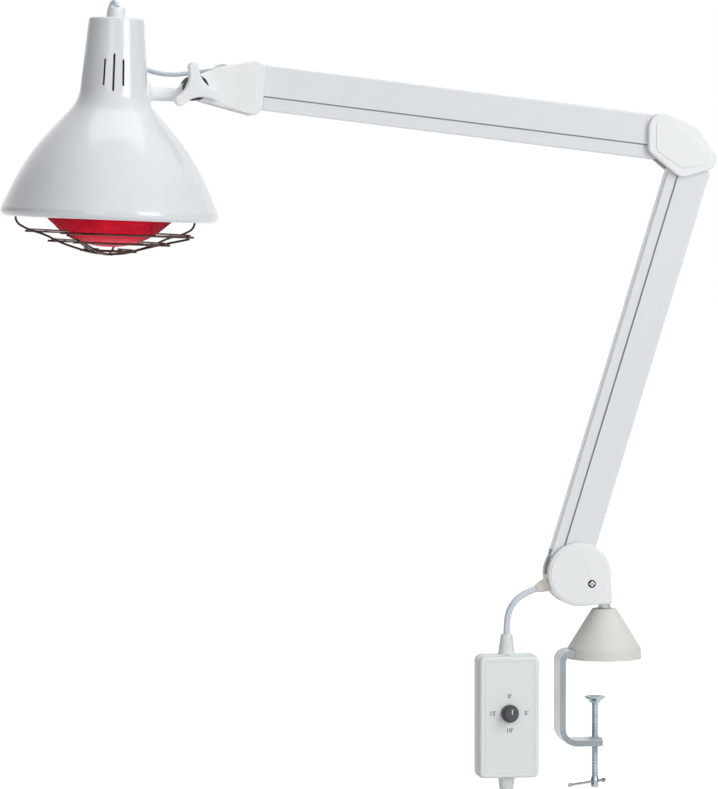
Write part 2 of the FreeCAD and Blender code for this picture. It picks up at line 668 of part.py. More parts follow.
# ---------------------------------------------------------------- head joint
def head_joint():
    a, b = head_outer, head_inner
    k = (knuckle_x, knuckle_z)
    core = plate([(k[0], k[1], 8.5), (b[0], b[1], 5.5), (a[0], a[1], 7.0)], -core_half, core_half)
    seat = (lead_end.x + grommet_long / 2 + 2, lead_end.z)
    core = core.fuse(plate([(seat[0], seat[1] - 6, 6.5), (seat[0] + 8, seat[1] - 5, 6.5), (seat[0], seat[1], 6.5)],
                           -core_half, core_half))
    around = plate([(k[0], k[1], knuckle_r + 2)], -core_half - 1, core_half + 1)
    core = core.cut(around)
    core = core.fuse(plate([(k[0], k[1], knuckle_r), (k[0] + 22, k[1] + 1, knuckle_r)], -tongue_half, tongue_half))
    core = core.cut(rod(bolt_r, V(k[0], -9, k[1]), V(k[0], 9, k[1])))
    core = core.cut(rod(grommet_r, lead_end - lead_way * 2, lead_end + lead_way * grommet_long))
    core = core.cut(rod(grommet_flange, lead_end - lead_way * 9, lead_end + lead_way * 1.6))
    parts["head_bracket"] = bored(core, (a, b)).removeSplitter()
    inside = rod(grommet_r, lead_end + lead_way * 1.6, lead_end + lead_way * grommet_long)
    flange = rod(grommet_flange, lead_end, lead_end + lead_way * 1.6)
    parts["lead_grommet"] = inside.fuse(flange)

    outline = [(k[0], k[1], 11.2), (b[0] + 4.6, b[1] - 6.4, 9.9), (a[0] + 5.2, a[1] + 5.8, 9.8),
               (seat[0] - 1.6, lead_end.z - 2.0, 6.0)]
    panel = [(k[0] + 8, k[1] + 0.5, 9.6), (b[0] - 1.6, b[1] - 5.4, 8.6), (a[0] - 1.2, a[1] + 4.8, 8.4),
             (seat[0] + 0.4, lead_end.z - 3.2, 5.0)]
    face = cover(outline, panel)
    scoop = rod(cover_scoop, V(k[0], -cover_out - 2, k[1]), V(k[0], -cover_in + 1, k[1]))
    wall = rod(cover_scoop + cover_rim, V(k[0], -cover_out + 0.1, k[1]), V(k[0], -cover_in, k[1]))
    within = plate(less(outline, 0.1), -cover_out + 0.1, -cover_in)
    face = face.fuse(wall.common(within)).cut(scoop)
    parts["bracket_cover_front"] = face
    parts["bracket_cover_back"] = mirrored(face)
    parts["bracket_pins"] = pivots([a], [b])

    def at(y):
        return V(k[0], y, k[1])

    washer = rod(washer_r, at(-ear_half - 0.1), at(-ear_half - washer_t)).cut(rod(bolt_r + 0.1, at(-30), at(0)))
    parts["knuckle_washers"] = group(washer, mirrored(washer))
    hub_y = -ear_half - washer_t - 0.1
    plate_y = -cover_out - panel_rise - 0.6
    nut_y = ear_half + washer_t
    bolt = rod(bolt_r, at(plate_y - knob_plate + 3), at(nut_y + nut_h))
    hexagon = [V(k[0] + nut_r * math.cos(math.radians(60 * i)), nut_y, k[1] + nut_r * math.sin(math.radians(60 * i)))
               for i in range(6)]
    nut = Part.Face(Part.makePolygon(hexagon + hexagon[:1])).extrude(V(0, nut_h, 0))
    dome = Part.makeCone(bolt_r + 1.2, bolt_r - 0.6, nut_cap, at(nut_y + nut_h), V(0, 1, 0))
    parts["clamp_bolt"] = bolt.fuse([nut, dome]).removeSplitter()

    # three-lobed hand nut
    edges = []
    for i in range(3):
        a0, a1 = math.radians(knob_turn + 120 * i), math.radians(knob_turn + 120 * i + 60)
        a2 = math.radians(knob_turn + 120 * (i + 1))

        def point(angle, along, across):
            return V(k[0] + along * math.cos(angle) - across * math.sin(angle), plate_y,
                     k[1] + along * math.sin(angle) + across * math.cos(angle))

        edges.append(Part.Arc(point(a0, knob_reach, -knob_lobe_r), point(a0, knob_reach + knob_lobe_r, 0),
                              point(a0, knob_reach, knob_lobe_r)).toShape())
        edges.append(Part.Arc(point(a0, knob_reach, knob_lobe_r), point(a1, knob_waist, 0),
                              point(a2, knob_reach, -knob_lobe_r)).toShape())
    star = Part.Face(Part.Wire(edges)).extrude(V(0, -knob_plate, 0))
    star = star.makeFillet(knob_round, flat_edges(star, plate_y - knob_plate))
    hub = rod(knob_hub_r, at(hub_y), at(plate_y - 1))
    bore = rod(bolt_r + run_fit, at(hub_y + 1), at(plate_y - knob_plate + 2.9))
    parts["wing_knob"] = star.fuse(hub).cut(bore).removeSplitter()


# ---------------------------------------------------------------- head
def neck_radius(z):
    return neck_top_r - (neck_foot_r - neck_top_r) * z / neck_h


def head():
    line = [(0, 0), (neck_top_r, 0), (neck_foot_r, -neck_h), (bell_r, -bell_h), (rim_r, -rim_h), (rim_r, -rim_drop),
            (rim_r - rim_round - rim_lip, -rim_drop)]
    rounds = [0, top_round, neck_fillet, bell_round, rim_shoulder, rim_round, 0]
    inner, inner_rounds = inset(line, rounds, shade_t)
    profile = line + inner[::-1]
    radii = rounds + inner_rounds[::-1]
    bell = lathe(profile, radii)
    bell = bell.cut(rod(tube_r, V(0, 0, -9), V(0, 0, 9)))
    for i in range(slot_groups):
        for j in (-1, 0, 1):
            long = slot_short if j else slot_long
            a = slot_w / 2
            tool = block(10, 60, -a, a, slot_mid - long / 2 + a, slot_mid + long / 2 - a)
            for end in (-1, 1):
                z = slot_mid + end * (long / 2 - a)
                tool = tool.fuse(rod(a, V(10, 0, z), V(60, 0, z)))
            tool.rotate(V(0, 0, 0), V(0, 0, 1), slot_turn + 360 / slot_groups * i + slot_step * j)
            bell = bell.cut(tool)

    # arm casting on the neck
    axis = V(0, 0, stub_v)
    arm = lathe([(0, stub_start), (stub_flare_r, stub_start), (stub_flare_r, neck_foot_r - 1.2),
                 (stub_r, neck_foot_r + 2.4), (stub_r, stub_end), (0, stub_end)],
                [0, 0, 1.5, stub_flare, 0, 0])
    arm.rotate(V(0, 0, 0), V(0, 1, 0), 90)
    arm.translate(axis)
    ear = plate([(stub_end - 2, stub_v, stub_r), (knuckle_u, knuckle_v, knuckle_r)], -ear_half, ear_half)
    ear = ear.cut(block(knuckle_u - knuckle_r - 2, knuckle_u + 40, -tongue_half - air, tongue_half + air,
                        knuckle_v - 20, knuckle_v + 20))
    ear = ear.cut(rod(bolt_r + run_fit, V(knuckle_u, -20, knuckle_v), V(knuckle_u, 20, knuckle_v)))
    solid_shade = lathe(line + [(0, -rim_drop)], rounds + [0])
    stub = arm.fuse(ear).cut(solid_shade)
    screws = []
    for sign in (-1, 1):
        z = stub_v + sign * stub_screw_pitch / 2
        r = neck_radius(z) - shade_t
        shank = rod(stub_screw_r, V(r - 1, 0, z), V(neck_foot_r + 1, 0, z))
        stub = stub.cut(shank)
        bell = bell.cut(shank)
        head_end = rod(stub_screw_r * 1.9, V(r - 3.6, 0, z), V(r - 0.5, 0, z))
        screws.append(shank.fuse(head_end))
    parts["stub_screws"] = on_head(group(*screws))
    parts["head_stub"] = on_head(stub.removeSplitter())
    parts["shade"] = on_head(bell)

    # gland, hanging tube and lampholder
    gland = lathe([(0, 0), (gland_r + gland_flange, 0), (gland_r + gland_flange, 1.2), (gland_r, 1.6),
                   (gland_r, gland_h), (lead_r + 0.1, gland_h), (lead_r + 0.1, 2), (0, 2)],
                  [0, 0, 0.5, 0, 1.6, 0, 0, 0])
    parts["top_gland"] = on_head(gland)
    tube = rod(tube_r, V(0, 0, tube_low), V(0, 0, 0)).cut(rod(tube_r - 1, V(0, 0, tube_low - 1), V(0, 0, 1)))
    collar = rod(tube_r + 4, V(0, 0, -shade_t - 3), V(0, 0, -shade_t)).cut(rod(tube_r, V(0, 0, -9), V(0, 0, 1)))
    parts["holder_tube"] = on_head(tube.fuse(collar))
    holder = lathe([(0, tube_low), (holder_r - 7, tube_low), (holder_r, tube_low - 9), (holder_r, holder_low),
                    (cap_r + 2, holder_low), (cap_r + 2, cap_low - 1), (cap_r + holder_fit, cap_low),
                    (cap_r + holder_fit, cap_top + 0.4), (0, cap_top + 0.4)],
                   [0, 3, 3, 1.5, 1, 0, 0, 0, 0])
    parts["lampholder"] = on_head(holder)

    # reflector bulb
    side = [(cap_r - 0.6, cap_low - 1), (bulb_neck_r, bulb_neck), (bulb_neck_r + 1, bulb_flare), (bulb_r, bulb_side),
            (bulb_r, bulb_wide), (bulb_r / 2, bulb_low), (0, bulb_low)]
    rounds = [0, 9, 26, 34, 7, bulb_face_round, 0]
    within, within_rounds = inset(side, rounds, bulb_wall)
    parts["bulb_glass"] = on_head(lathe(side + within[::-1], rounds + within_rounds[::-1]))
    cap = lathe([(0, cap_top), (3.5, cap_top), (cap_r, cap_top - 5), (cap_r, cap_low - 1), (0, cap_low - 1)])
    parts["bulb_cap"] = on_head(cap)
    stem = lathe([(0, cap_low - 1), (5, cap_low - 1), (6.5, cap_low - 20), (2.5, cap_low - 45), (0, cap_low - 45)])
    wires = []
    for i in range(5):
        a = math.radians(72 * i + 20)
        tip = V(15 * math.cos(a), 15 * math.sin(a), filament_z)
        wires.append(rod(0.6, V(math.cos(a), math.sin(a), cap_low - 44), tip))
        b = math.radians(72 * (i + 1) + 20)
        if i < 4:
            wires.append(rod(0.9, tip, V(15 * math.cos(b), 15 * math.sin(b), filament_z)))
    parts["bulb_filament"] = on_head(stem.fuse(wires))
    guard()


def guard():
    """A dished wire guard: bowed ribs under three square rings of straight wires."""
    rim_foot = -rim_drop
    seat = 2 * wire_r - weld
    rests = [(reach * rib_share, z - seat) for reach, z in zip(ring_reach, ring_drop)]

    def rib(turn, full):
        if full:
            bend = (leg_r, rim_foot - leg_drop)
            points = [(leg_r, rim_foot + leg_rise), bend, (leg_r - shoulder_in, bend[1] - shoulder_drop)] + rests
        else:
            points = [(ring_reach[0] - 2.0, ring_drop[0] - seat)] + rests[1:]
        corners = [V(r, 0, z) for r, z in points + [(wire_r, guard_low)]]
        shape = Part.Face(Part.Wire(Part.makeCircle(wire_r, corners[0], corners[1] - corners[0])))
        shape = wire_through(corners, widest_bends(corners), False).makePipe(shape)
        shape.rotate(V(0, 0, 0), V(0, 0, 1), turn)
        return shape

    wires = [rib(t, True) for t in leg_turns] + [rib(t, False) for t in short_turns]
    for reach, z in zip(ring_reach, ring_drop):
        flat = reach / math.sqrt(2)
        for i in range(4):
            level = z + (seat if i % 2 else 0)
            bar = rod(wire_r, V(-flat - ring_over, -flat, level), V(flat + ring_over, -flat, level))
            bar.rotate(V(0, 0, 0), V(0, 0, 1), ring_turn + 45 + 90 * i)
            wires.append(bar)
    hub = rod(4.5, V(0, 0, guard_low - wire_r), V(0, 0, guard_low + wire_r))
    parts["guard"] = on_head(hub.fuse(wires))
    clips = []
    floor = rim_foot + shade_t
    reach = rim_r - rim_round
    for t in leg_turns:
        clip = block(leg_r - 4, reach, -5, 5, floor, floor + 1)
        clip = clip.fuse(block(leg_r - 4, reach - 3, -3.5, 3.5, floor, floor + leg_rise))
        clip = clip.cut(rod(wire_r, V(leg_r, 0, floor - 9), V(leg_r, 0, floor + 20)))
        clip.rotate(V(0, 0, 0), V(0, 0, 1), t)
        clips.append(clip)
    parts["guard_clips"] = on_head(group(*clips))


# ---------------------------------------------------------------- leads
def tube_along(points, radius, name):
    """A lead's tube: straight runs joined by the largest tangent arcs that the runs allow."""
    radii = widest_bends(points)
    path = wire_through(points, radii, False)
    profile = Part.Face(Part.Wire(Part.makeCircle(radius, points[0], points[1] - points[0])))
    shape = path.makePipe(profile)
    made = shape.Volume / (math.pi * radius ** 2 * path.Length)
    print(name, "length %.0f" % path.Length, "volume ratio %.3f" % made,
          "radii in diameters", [round(r / radius / 2, 1) for r in radii[1:-1]])
    return shape


lead_start = V(shade_x + gland_h * math.sin(lean), 0, shade_z + gland_h * math.cos(lean))
lead_end = V(knuckle_x + 21.8, 0, knuckle_z + 17.6)
lead_points = [
    lead_start,
    lead_start + V(-0.4, 2.6, 6.3),
    lead_start + V(-1.4, 8.9, 8.9),
    lead_start + V(-2.8, 18.4, 6.6),
    lead_start + V(-4.0, 29.0, -0.4),
    lead_start + V(-4.6, 38.0, -12.6),
    lead_start + V(-2.0, 43.0, -31.0),
    lead_start + V(12.0, 42.5, -50.0),
    lead_start + V(34.0, 34.0, -62.4),
    lead_start + V(55.0, 21.8, -66.8),
    lead_end + V(-23.0, 12.2, -2.2),
    lead_end,
]
lead_way = (lead_points[-1] - lead_points[-2]).normalize()


def timer():
    top, low = timer_top, timer_top - timer_l
    half = timer_w / 2
    front, back = -timer_lid_t - 3.0, timer_base_t - 3.0
    split = -3.0

    def shell(w, l, y0, y1, corner):
        x0, x1, z0, z1 = timer_x - w / 2, timer_x + w / 2, (top + low) / 2 - l / 2, (top + low) / 2 + l / 2
        return plate([(x0 + corner, z0 + corner, corner), (x1 - corner, z0 + corner, corner),
                      (x1 - corner, z1 - corner, corner), (x0 + corner, z1 - corner, corner)], y0, y1)

    base = shell(timer_w, timer_l, split, back, timer_corner)
    base = base.makeFillet(timer_edge, flat_edges(base, back))
    base = base.cut(shell(timer_w - 2 * timer_wall, timer_l - 2 * timer_wall, split - 1, back - timer_wall,
                          timer_corner - timer_wall))
    lid = shell(timer_w - 2 * lid_step, timer_l - 2 * lid_step, front, split, timer_corner - lid_step)
    lid = lid.makeFillet(timer_edge, flat_edges(lid, front))
    thick = timer_wall + lid_step
    lid = lid.cut(shell(timer_w - 2 * thick, timer_l - 2 * thick, front + timer_wall, split + 1, timer_corner - thick))
    dial_z = (top + low) / 2 + dial_up

    def at(y):
        return V(timer_x, y, dial_z)

    lid = lid.cut(rod(shaft_r + 0.6, at(front - 1), at(front + 5)))
    unit = block(timer_x - unit_w / 2, timer_x + unit_w / 2, front + timer_wall, front + timer_wall + unit_t,
                 dial_z - unit_w / 2, dial_z + unit_w / 2)
    unit = unit.cut(rod(shaft_r + run_fit, at(front), at(front + timer_wall + unit_t - 2)))
    parts["timer_unit"] = unit
    screws, posts = [], []
    for sx in (-1, 1):
        for sz in (-1, 1):
            x = timer_x + sx * (half - 9)
            z = (top + low) / 2 + sz * (timer_l / 2 - 11)
            post = rod(3.4, V(x, split, z), V(x, back - timer_wall, z))
            pillar = rod(3.4, V(x, front + timer_wall, z), V(x, split, z))
            shank = rod(1.4, V(x, front + timer_wall + 1, z), V(x, back - 2.6, z))
            cap = rod(2.7, V(x, back - 2.6, z), V(x, back - 0.6, z))
            base = base.fuse(post)
            lid = lid.fuse(pillar)
            base = base.cut(shank).cut(rod(2.8, V(x, back - 2.6, z), V(x, back + 1, z)))
            lid = lid.cut(shank)
            screws.append(shank.fuse(cap))
    middle_y = (split + back) / 2 - 1.5
    reliefs = []
    for z, sign in ((top, 1), (low, -1)):
        sleeve = Part.makeCone(relief_r, relief_tip_r, relief_long, V(timer_x, middle_y, z), V(0, 0, sign))
        for i in range(relief_grooves):
            a = 360 / relief_grooves * i
            groove = block(relief_tip_r - 0.6, relief_r + 2, -0.35, 0.35, 2.0, relief_long - 2.5)
            groove.rotate(V(0, 0, 0), V(0, 1, 0), -math.degrees(math.atan2(relief_r - relief_tip_r, relief_long)))
            groove.translate(V(relief_r - relief_tip_r - 0.1, 0, 0))
            if sign < 0:
                groove = groove.mirror(V(0, 0, 0), V(0, 0, 1))
            groove.rotate(V(0, 0, 0), V(0, 0, 1), a)
            groove.translate(V(timer_x, middle_y, z))
            sleeve = sleeve.cut(groove)
        anchor = rod(relief_tip_r, V(timer_x, middle_y, z), V(timer_x, middle_y, z - sign * (timer_wall + 2)))
        base = base.cut(rod(relief_tip_r, V(timer_x, middle_y, z + sign), V(timer_x, middle_y, z - sign * 9)))
        reliefs.append(sleeve.fuse(anchor))
    parts["timer_reliefs"] = group(*reliefs)
    parts["timer_screws"] = group(*screws)
    parts["timer_base"] = base.removeSplitter()
    parts["timer_lid"] = lid.removeSplitter()
    parts["timer_shaft"] = rod(shaft_r, at(front - knob_h + 3), at(front + timer_wall + unit_t - 2.5))

    seat = front - 0.4
    knob = rod(skirt_r, at(seat), at(seat - skirt_h))
    knob = knob.makeFillet(0.8, flat_edges(knob, seat - skirt_h))
    body = Part.makeCone(knob_r, knob_top_r, knob_h - skirt_h, at(seat - skirt_h), V(0, -1, 0))
    for i in range(flutes):
        a = math.radians(360 / flutes * i + 15)
        x, z = timer_x + (knob_r + 0.5) * math.cos(a), dial_z + (knob_r + 0.5) * math.sin(a)
        body = body.cut(rod(1.0, V(x, seat - skirt_h - 0.5, z), V(x, seat - knob_h + 1.2, z)))
    knob = knob.fuse(body).cut(rod(shaft_r, at(seat + 1), at(front - knob_h + 3)))
    parts["timer_knob"] = knob.removeSplitter()
    return middle_y


def leads():
    parts["head_lead"] = tube_along(lead_points, lead_r, "head_lead")
    a = math.radians(outlet_turn)
    way = V(math.cos(a), 0, math.sin(a))
    start = V(disc_x, 0, disc_z) + way * (disc_r - rim_inset + outlet_long)
    depth = timer()
    end = V(timer_x, depth, timer_top + relief_long)
    drop = [start, start + way * 14.5, start + V(-24.6, 0.9, -14.6), end + V(0, 0, 17.0), end]
    parts["timer_lead"] = tube_along(drop, cable_r, "timer_lead")

    low = timer_top - timer_l - relief_long
    coil_x = timer_x - coil_mid_r
    reach = math.sqrt((coil_mid_r + coil_half) ** 2 - coil_mid_r ** 2)
    coil_z = low - drop_long - reach
    drop = rod(cable_r, V(timer_x, depth, low), V(timer_x, depth, coil_z + reach - 3))
    tail = rod(cable_r, V(timer_x, depth, coil_z - reach + 3), V(timer_x, depth, coil_z - reach - tail_long))
    parts["mains_lead"] = group(drop, tail)
    r0, r1, h, c = coil_mid_r - coil_half, coil_mid_r + coil_half, coil_half, coil_round
    coil = lathe([(r0, -h), (r1, -h), (r1, h), (r0, h)], [c, c, c, c])
    coil.rotate(V(0, 0, 0), V(1, 0, 0), 90)
    coil.translate(V(coil_x, depth, coil_z))
    parts["mains_coil"] = coil
    s = coil_half + 0.4
    band = block(timer_x - s - tie_t, timer_x + s + tie_t, depth - s - tie_t, depth + s + tie_t,
                 coil_z - tie_h / 2, coil_z + tie_h / 2)
    band = band.cut(block(timer_x - s, timer_x + s, depth - s, depth + s, coil_z - tie_h, coil_z + tie_h))
    parts["cord_tie"] = band
    z = coil_z - reach - tail_long
    plug = lathe([(0, 0), (plug_tip_r, 0), (plug_neck_r, -plug_relief), (plug_r, -plug_relief - 5),
                  (plug_r, -plug_relief - plug_h), (0, -plug_relief - plug_h)], [0, 0.5, 3, 4, 1.5, 0])
    plug.translate(V(timer_x, depth, z))
    face = z - plug_relief - plug_h
    pins = []
    for sign in (-1, 1):
        x = timer_x + sign * plug_pin_pitch / 2
        shank = rod(plug_anchor_r, V(x, depth, face - 1), V(x, depth, face + plug_anchor))
        plug = plug.cut(shank)
        pin = rod(plug_pin_r, V(x, depth, face - plug_pin_long), V(x, depth, face - pin_shoulder)).fuse(shank)
        tips = [e for e in pin.Edges if abs(e.BoundBox.ZMax - face + plug_pin_long) < 1e-4]
        pins.append(pin.removeSplitter().makeFillet(1.2, tips))
    parts["plug_body"] = plug
    parts["plug_pins"] = group(*pins)
    print("plug pins", [round(q, 2) for q in (timer_x, depth, face)], "coil", round(coil_x, 2), round(coil_z, 2))


clamp()
base_joint()
arm_parts("lower", lower)
elbow()
arm_parts("upper", upper)
head_joint()
head()
leads()

for name, shape in parts.items():
    if not shape.isValid():
        print("NOT VALID", name)
    shape.exportStep("parts/" + name + ".step")
print(len(parts), "nodes")
for name, spot in (("base_outer", base_outer), ("base_inner", base_inner), ("elbow_low_outer", elbow_low_outer),
                   ("elbow_low_inner", elbow_low_inner), ("elbow_up_outer", elbow_up_outer),
                   ("elbow_up_inner", elbow_up_inner), ("head_outer", head_outer), ("head_inner", head_inner),
                   ("knuckle", (knuckle_x, knuckle_z)), ("shade", (shade_x, shade_z))):
    print(name, [round(q, 3) for q in spot])
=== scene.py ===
import json
import math

import bmesh
import bpy
from bpy.props import FloatProperty, FloatVectorProperty, IntProperty, PointerProperty
from bpy.types import Operator, Panel, PropertyGroup
from mathutils import Matrix, Vector

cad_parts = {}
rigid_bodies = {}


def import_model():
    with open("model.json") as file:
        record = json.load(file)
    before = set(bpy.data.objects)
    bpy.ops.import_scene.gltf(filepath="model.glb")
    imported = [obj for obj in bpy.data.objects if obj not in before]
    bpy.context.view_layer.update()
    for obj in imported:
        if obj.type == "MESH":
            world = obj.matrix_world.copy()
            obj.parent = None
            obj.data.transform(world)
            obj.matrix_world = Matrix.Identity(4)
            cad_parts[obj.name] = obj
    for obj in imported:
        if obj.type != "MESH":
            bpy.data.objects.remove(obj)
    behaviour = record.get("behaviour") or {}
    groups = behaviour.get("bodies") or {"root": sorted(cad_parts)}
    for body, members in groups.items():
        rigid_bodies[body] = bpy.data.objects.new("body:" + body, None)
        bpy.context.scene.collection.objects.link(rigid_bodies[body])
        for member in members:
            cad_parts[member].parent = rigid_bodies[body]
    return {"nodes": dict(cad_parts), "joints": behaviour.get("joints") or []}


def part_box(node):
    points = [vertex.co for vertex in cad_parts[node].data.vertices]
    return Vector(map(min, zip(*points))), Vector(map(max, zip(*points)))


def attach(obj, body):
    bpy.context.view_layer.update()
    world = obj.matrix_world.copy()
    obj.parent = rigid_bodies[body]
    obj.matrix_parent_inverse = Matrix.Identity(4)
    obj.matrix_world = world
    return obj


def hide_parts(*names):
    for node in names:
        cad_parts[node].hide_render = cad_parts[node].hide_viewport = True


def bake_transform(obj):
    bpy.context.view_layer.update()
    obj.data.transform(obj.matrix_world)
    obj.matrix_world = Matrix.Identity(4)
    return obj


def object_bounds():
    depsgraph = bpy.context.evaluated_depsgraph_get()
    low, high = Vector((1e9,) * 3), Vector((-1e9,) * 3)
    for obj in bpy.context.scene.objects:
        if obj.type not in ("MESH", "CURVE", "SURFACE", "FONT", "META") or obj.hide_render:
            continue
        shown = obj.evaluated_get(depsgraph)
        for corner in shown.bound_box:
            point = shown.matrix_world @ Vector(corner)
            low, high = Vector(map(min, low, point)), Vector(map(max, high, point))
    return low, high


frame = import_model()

bl_info = {
    "name": "Infrared Heat Lamp",
    "version": (1, 0, 0),
    "blender": (4, 5, 0),
    "location": "3D View > Sidebar > Heat Lamp",
    "description": "Finishes, cords and small parts of a heat lamp on a spring arm, with its stage",
    "category": "Object",
}

CAD_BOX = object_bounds()
NODES = frame["nodes"]
JOINTS = {joint["name"]: joint for joint in frame["joints"]}


def hue(code):
    """Scene colour of a hex code, as a paint card gives it."""
    parts = [int(code[i:i + 2], 16) / 255 for i in (0, 2, 4)]
    return tuple(p / 12.92 if p <= 0.04045 else ((p + 0.055) / 1.055) ** 2.4 for p in parts)


def colour(name, description, code):
    return FloatVectorProperty(name=name, description=description, subtype="COLOR", size=3, min=0, max=1,
                               default=hue(code))


def length(name, description, default):
    return FloatProperty(name=name, description=description, default=default, min=0, unit="LENGTH",
                         precision=5)


# ---------------------------------------------------------------- settings
class LampColours(PropertyGroup):
    enamel: colour("Enamel", "Gloss paint of the shade and the arm channels", "dee2e6")
    casting: colour("Casting", "Painted castings of the joints", "d9dde0")
    shell: colour("Joint covers", "Moulded covers, the hand nut and the gland", "e8ebec")
    cone: colour("Cone", "Moulded cone over the upper jaw", "dbdbd5")
    # The two clamp tones are painted shade and painted light on one silver paint.
    clamp: colour("Clamp edges", "Silver paint on the sheared edges of the clamp's bar", "9ba3a8")
    clamp_face: colour("Clamp faces", "Silver paint on the broad faces of the clamp's bar", "e2e5e9")
    steel: colour("Zinc steel", "Spindle and pressure pad", "9eabb1")
    nickel: colour("Guard wire", "Black nickel of the guard and its clips", "483832")
    ruby: colour("Ruby glass", "Red glass of the bulb", "c4142c")
    cable: colour("Cord", "Sheath of the cords", "cdd5df")
    box: colour("Timer box", "Moulded timer box and its sleeves", "e1e6e6")
    dial: colour("Dial cap", "Cap of the timer's knob", "43464f")
    mark: colour("Dial line", "Line on the dial's cap", "e6ebec")
    knob: colour("Dial body", "Fluted body of the timer's knob", "4b4e4c")


class LampSizes(PropertyGroup):
    thread_pitch: length("Thread pitch", "Pitch of the clamp spindle's thread", 0.0015)
    thread_depth: length("Thread depth", "Depth of the clamp spindle's thread", 0.00045)
    spring_turns: IntProperty(name="Spring turns", description="Turns of each balance spring", default=96,
                              min=4)
    spring_wire: length("Spring wire", "Thickness of the balance springs' wire", 0.0013)
    recess: FloatProperty(name="Screw recess", description="Reach of the cross recess, as a share of the head",
                          default=0.62, min=0.1, max=0.9, subtype="FACTOR")
    digit: length("Dial figures", "Height of the figures round the dial", 0.0043)
    digit_ring: length("Figure circle", "Radius of the circle of figures", 0.0172)
    bead: length("Lid bead", "Width of the raised bead round the timer's lid", 0.0026)
    head_cord: length("Head cord", "Diameter of the cord between the head and the arm", 0.0048)
    mains_cord: length("Mains cord", "Diameter of the mains cord", 0.0066)
    coil_pitch: length("Coil pitch", "Distance between turns of the put-away cord", 0.0067)


# ---------------------------------------------------------------- node trees
def new_tree(name, kind, inputs, outputs):
    """An empty node group: inputs are (name, kind, default) rows, and outputs (name, kind)."""
    tree = bpy.data.node_groups.new(name, kind)
    for label, socket_kind, default in inputs:
        socket = tree.interface.new_socket(name=label, in_out="INPUT", socket_type="NodeSocket" + socket_kind)
        if default is not None:
            socket.default_value = default
    for label, socket_kind in outputs:
        tree.interface.new_socket(name=label, in_out="OUTPUT", socket_type="NodeSocket" + socket_kind)
    return tree, tree.nodes.new("NodeGroupInput").outputs, tree.nodes.new("NodeGroupOutput").inputs


def plug(tree, value, socket):
    """Links an output or a list of outputs, or sets a plain value."""
    if isinstance(value, bpy.types.NodeSocket):
        tree.links.new(value, socket)
    elif isinstance(value, list):
        for output in value:
            tree.links.new(output, socket)
    else:
        socket.default_value = value


def add(tree, kind, values=(), family="ShaderNode", **settings):
    """A new node, with a value for each socket that is named or numbered."""
    node = tree.nodes.new(family + kind)
    for key, value in settings.items():
        setattr(node, key, value)
    for key, value in dict(values).items():
        plug(tree, value, node.inputs[key])
    return node


def calc(tree, operation, first, *others, clamp=False):
    """Works the values out from left to right; clamp holds the end between 0 and 1."""
    if not others:
        return add(tree, "Math", {0: first}, operation=operation).outputs[0]
    for i, value in enumerate(others, 1):
        first = add(tree, "Math", {0: first, 1: value}, operation=operation,
                    use_clamp=clamp and i == len(others)).outputs[0]
    return first


def vector_calc(tree, operation, *values):
    """Outputs of a vector node: Vector, and Value where the result is a number."""
    return add(tree, "VectorMath", dict(enumerate(values)), operation=operation).outputs


def part_along(tree, direction, axis):
    return add(tree, "SeparateXYZ", {"Vector": direction}).outputs[axis]


def surface_normal(tree):
    return add(tree, "NewGeometry").outputs["Normal"]


def ramp(tree, value, low, high, to_low=0.0, to_high=1.0):
    return add(tree, "MapRange", {"Value": value, "From Min": low, "From Max": high, "To Min": to_low,
                                  "To Max": to_high}, interpolation_type="SMOOTHSTEP").outputs[0]


def blend_colour(tree, share, first, second):
    return add(tree, "Mix", {0: share, 6: first, 7: second}, data_type="RGBA").outputs[2]


def noise(tree, place, scale, detail=3.0, rough=0.5):
    return add(tree, "TexNoise", {"Vector": place, "Scale": scale, "Detail": detail,
                                  "Roughness": rough}).outputs["Fac"]


def swayed(tree, value, pattern, reach):
    """The value, moved up and down by a pattern that runs from 0 to 1."""
    return calc(tree, "ADD", value, calc(tree, "MULTIPLY", calc(tree, "SUBTRACT", pattern, 0.5), reach))


# ---------------------------------------------------------------- shared shader groups
WHITE = (1, 1, 1, 1)
SURFACE = [("Place", "Vector", None), ("Colour", "Color", WHITE)]
SKIN = [("Colour", "Color"), ("Roughness", "Float"), ("Height", "Float")]
STAIN = [("Colour", "Color"), ("Mask", "Float")]


def shader_group(name, inputs, outputs):
    return new_tree(name, "ShaderNodeTree", SURFACE + inputs, outputs)


def stained(tree, given, out, tint, *shares):
    """Ends a stain: its mask is the product of the shares and Amount, and blends in the tint."""
    mask = calc(tree, "MULTIPLY", *shares, given["Amount"], clamp=True)
    plug(tree, blend_colour(tree, mask, given["Colour"], given[tint]), out["Colour"])
    plug(tree, mask, out["Mask"])
    return tree


def mottle_group():
    """Slow drift of colour and gloss, with a fine relief."""
    tree, given, out = shader_group("Mottle and grain", [
        ("Drift", "Color", WHITE), ("Drift Size", "Float", 12.0), ("Gloss", "Float", 0.3),
        ("Gloss Spread", "Float", 0.05), ("Grain Size", "Float", 900.0)], SKIN)
    slow = noise(tree, given["Place"], given["Drift Size"], 2.0)
    plug(tree, blend_colour(tree, ramp(tree, slow, 0.38, 0.66), given["Colour"], given["Drift"]), out["Colour"])
    plug(tree, swayed(tree, given["Gloss"], slow, given["Gloss Spread"]), out["Roughness"])
    plug(tree, noise(tree, given["Place"], given["Grain Size"]), out["Height"])
    return tree


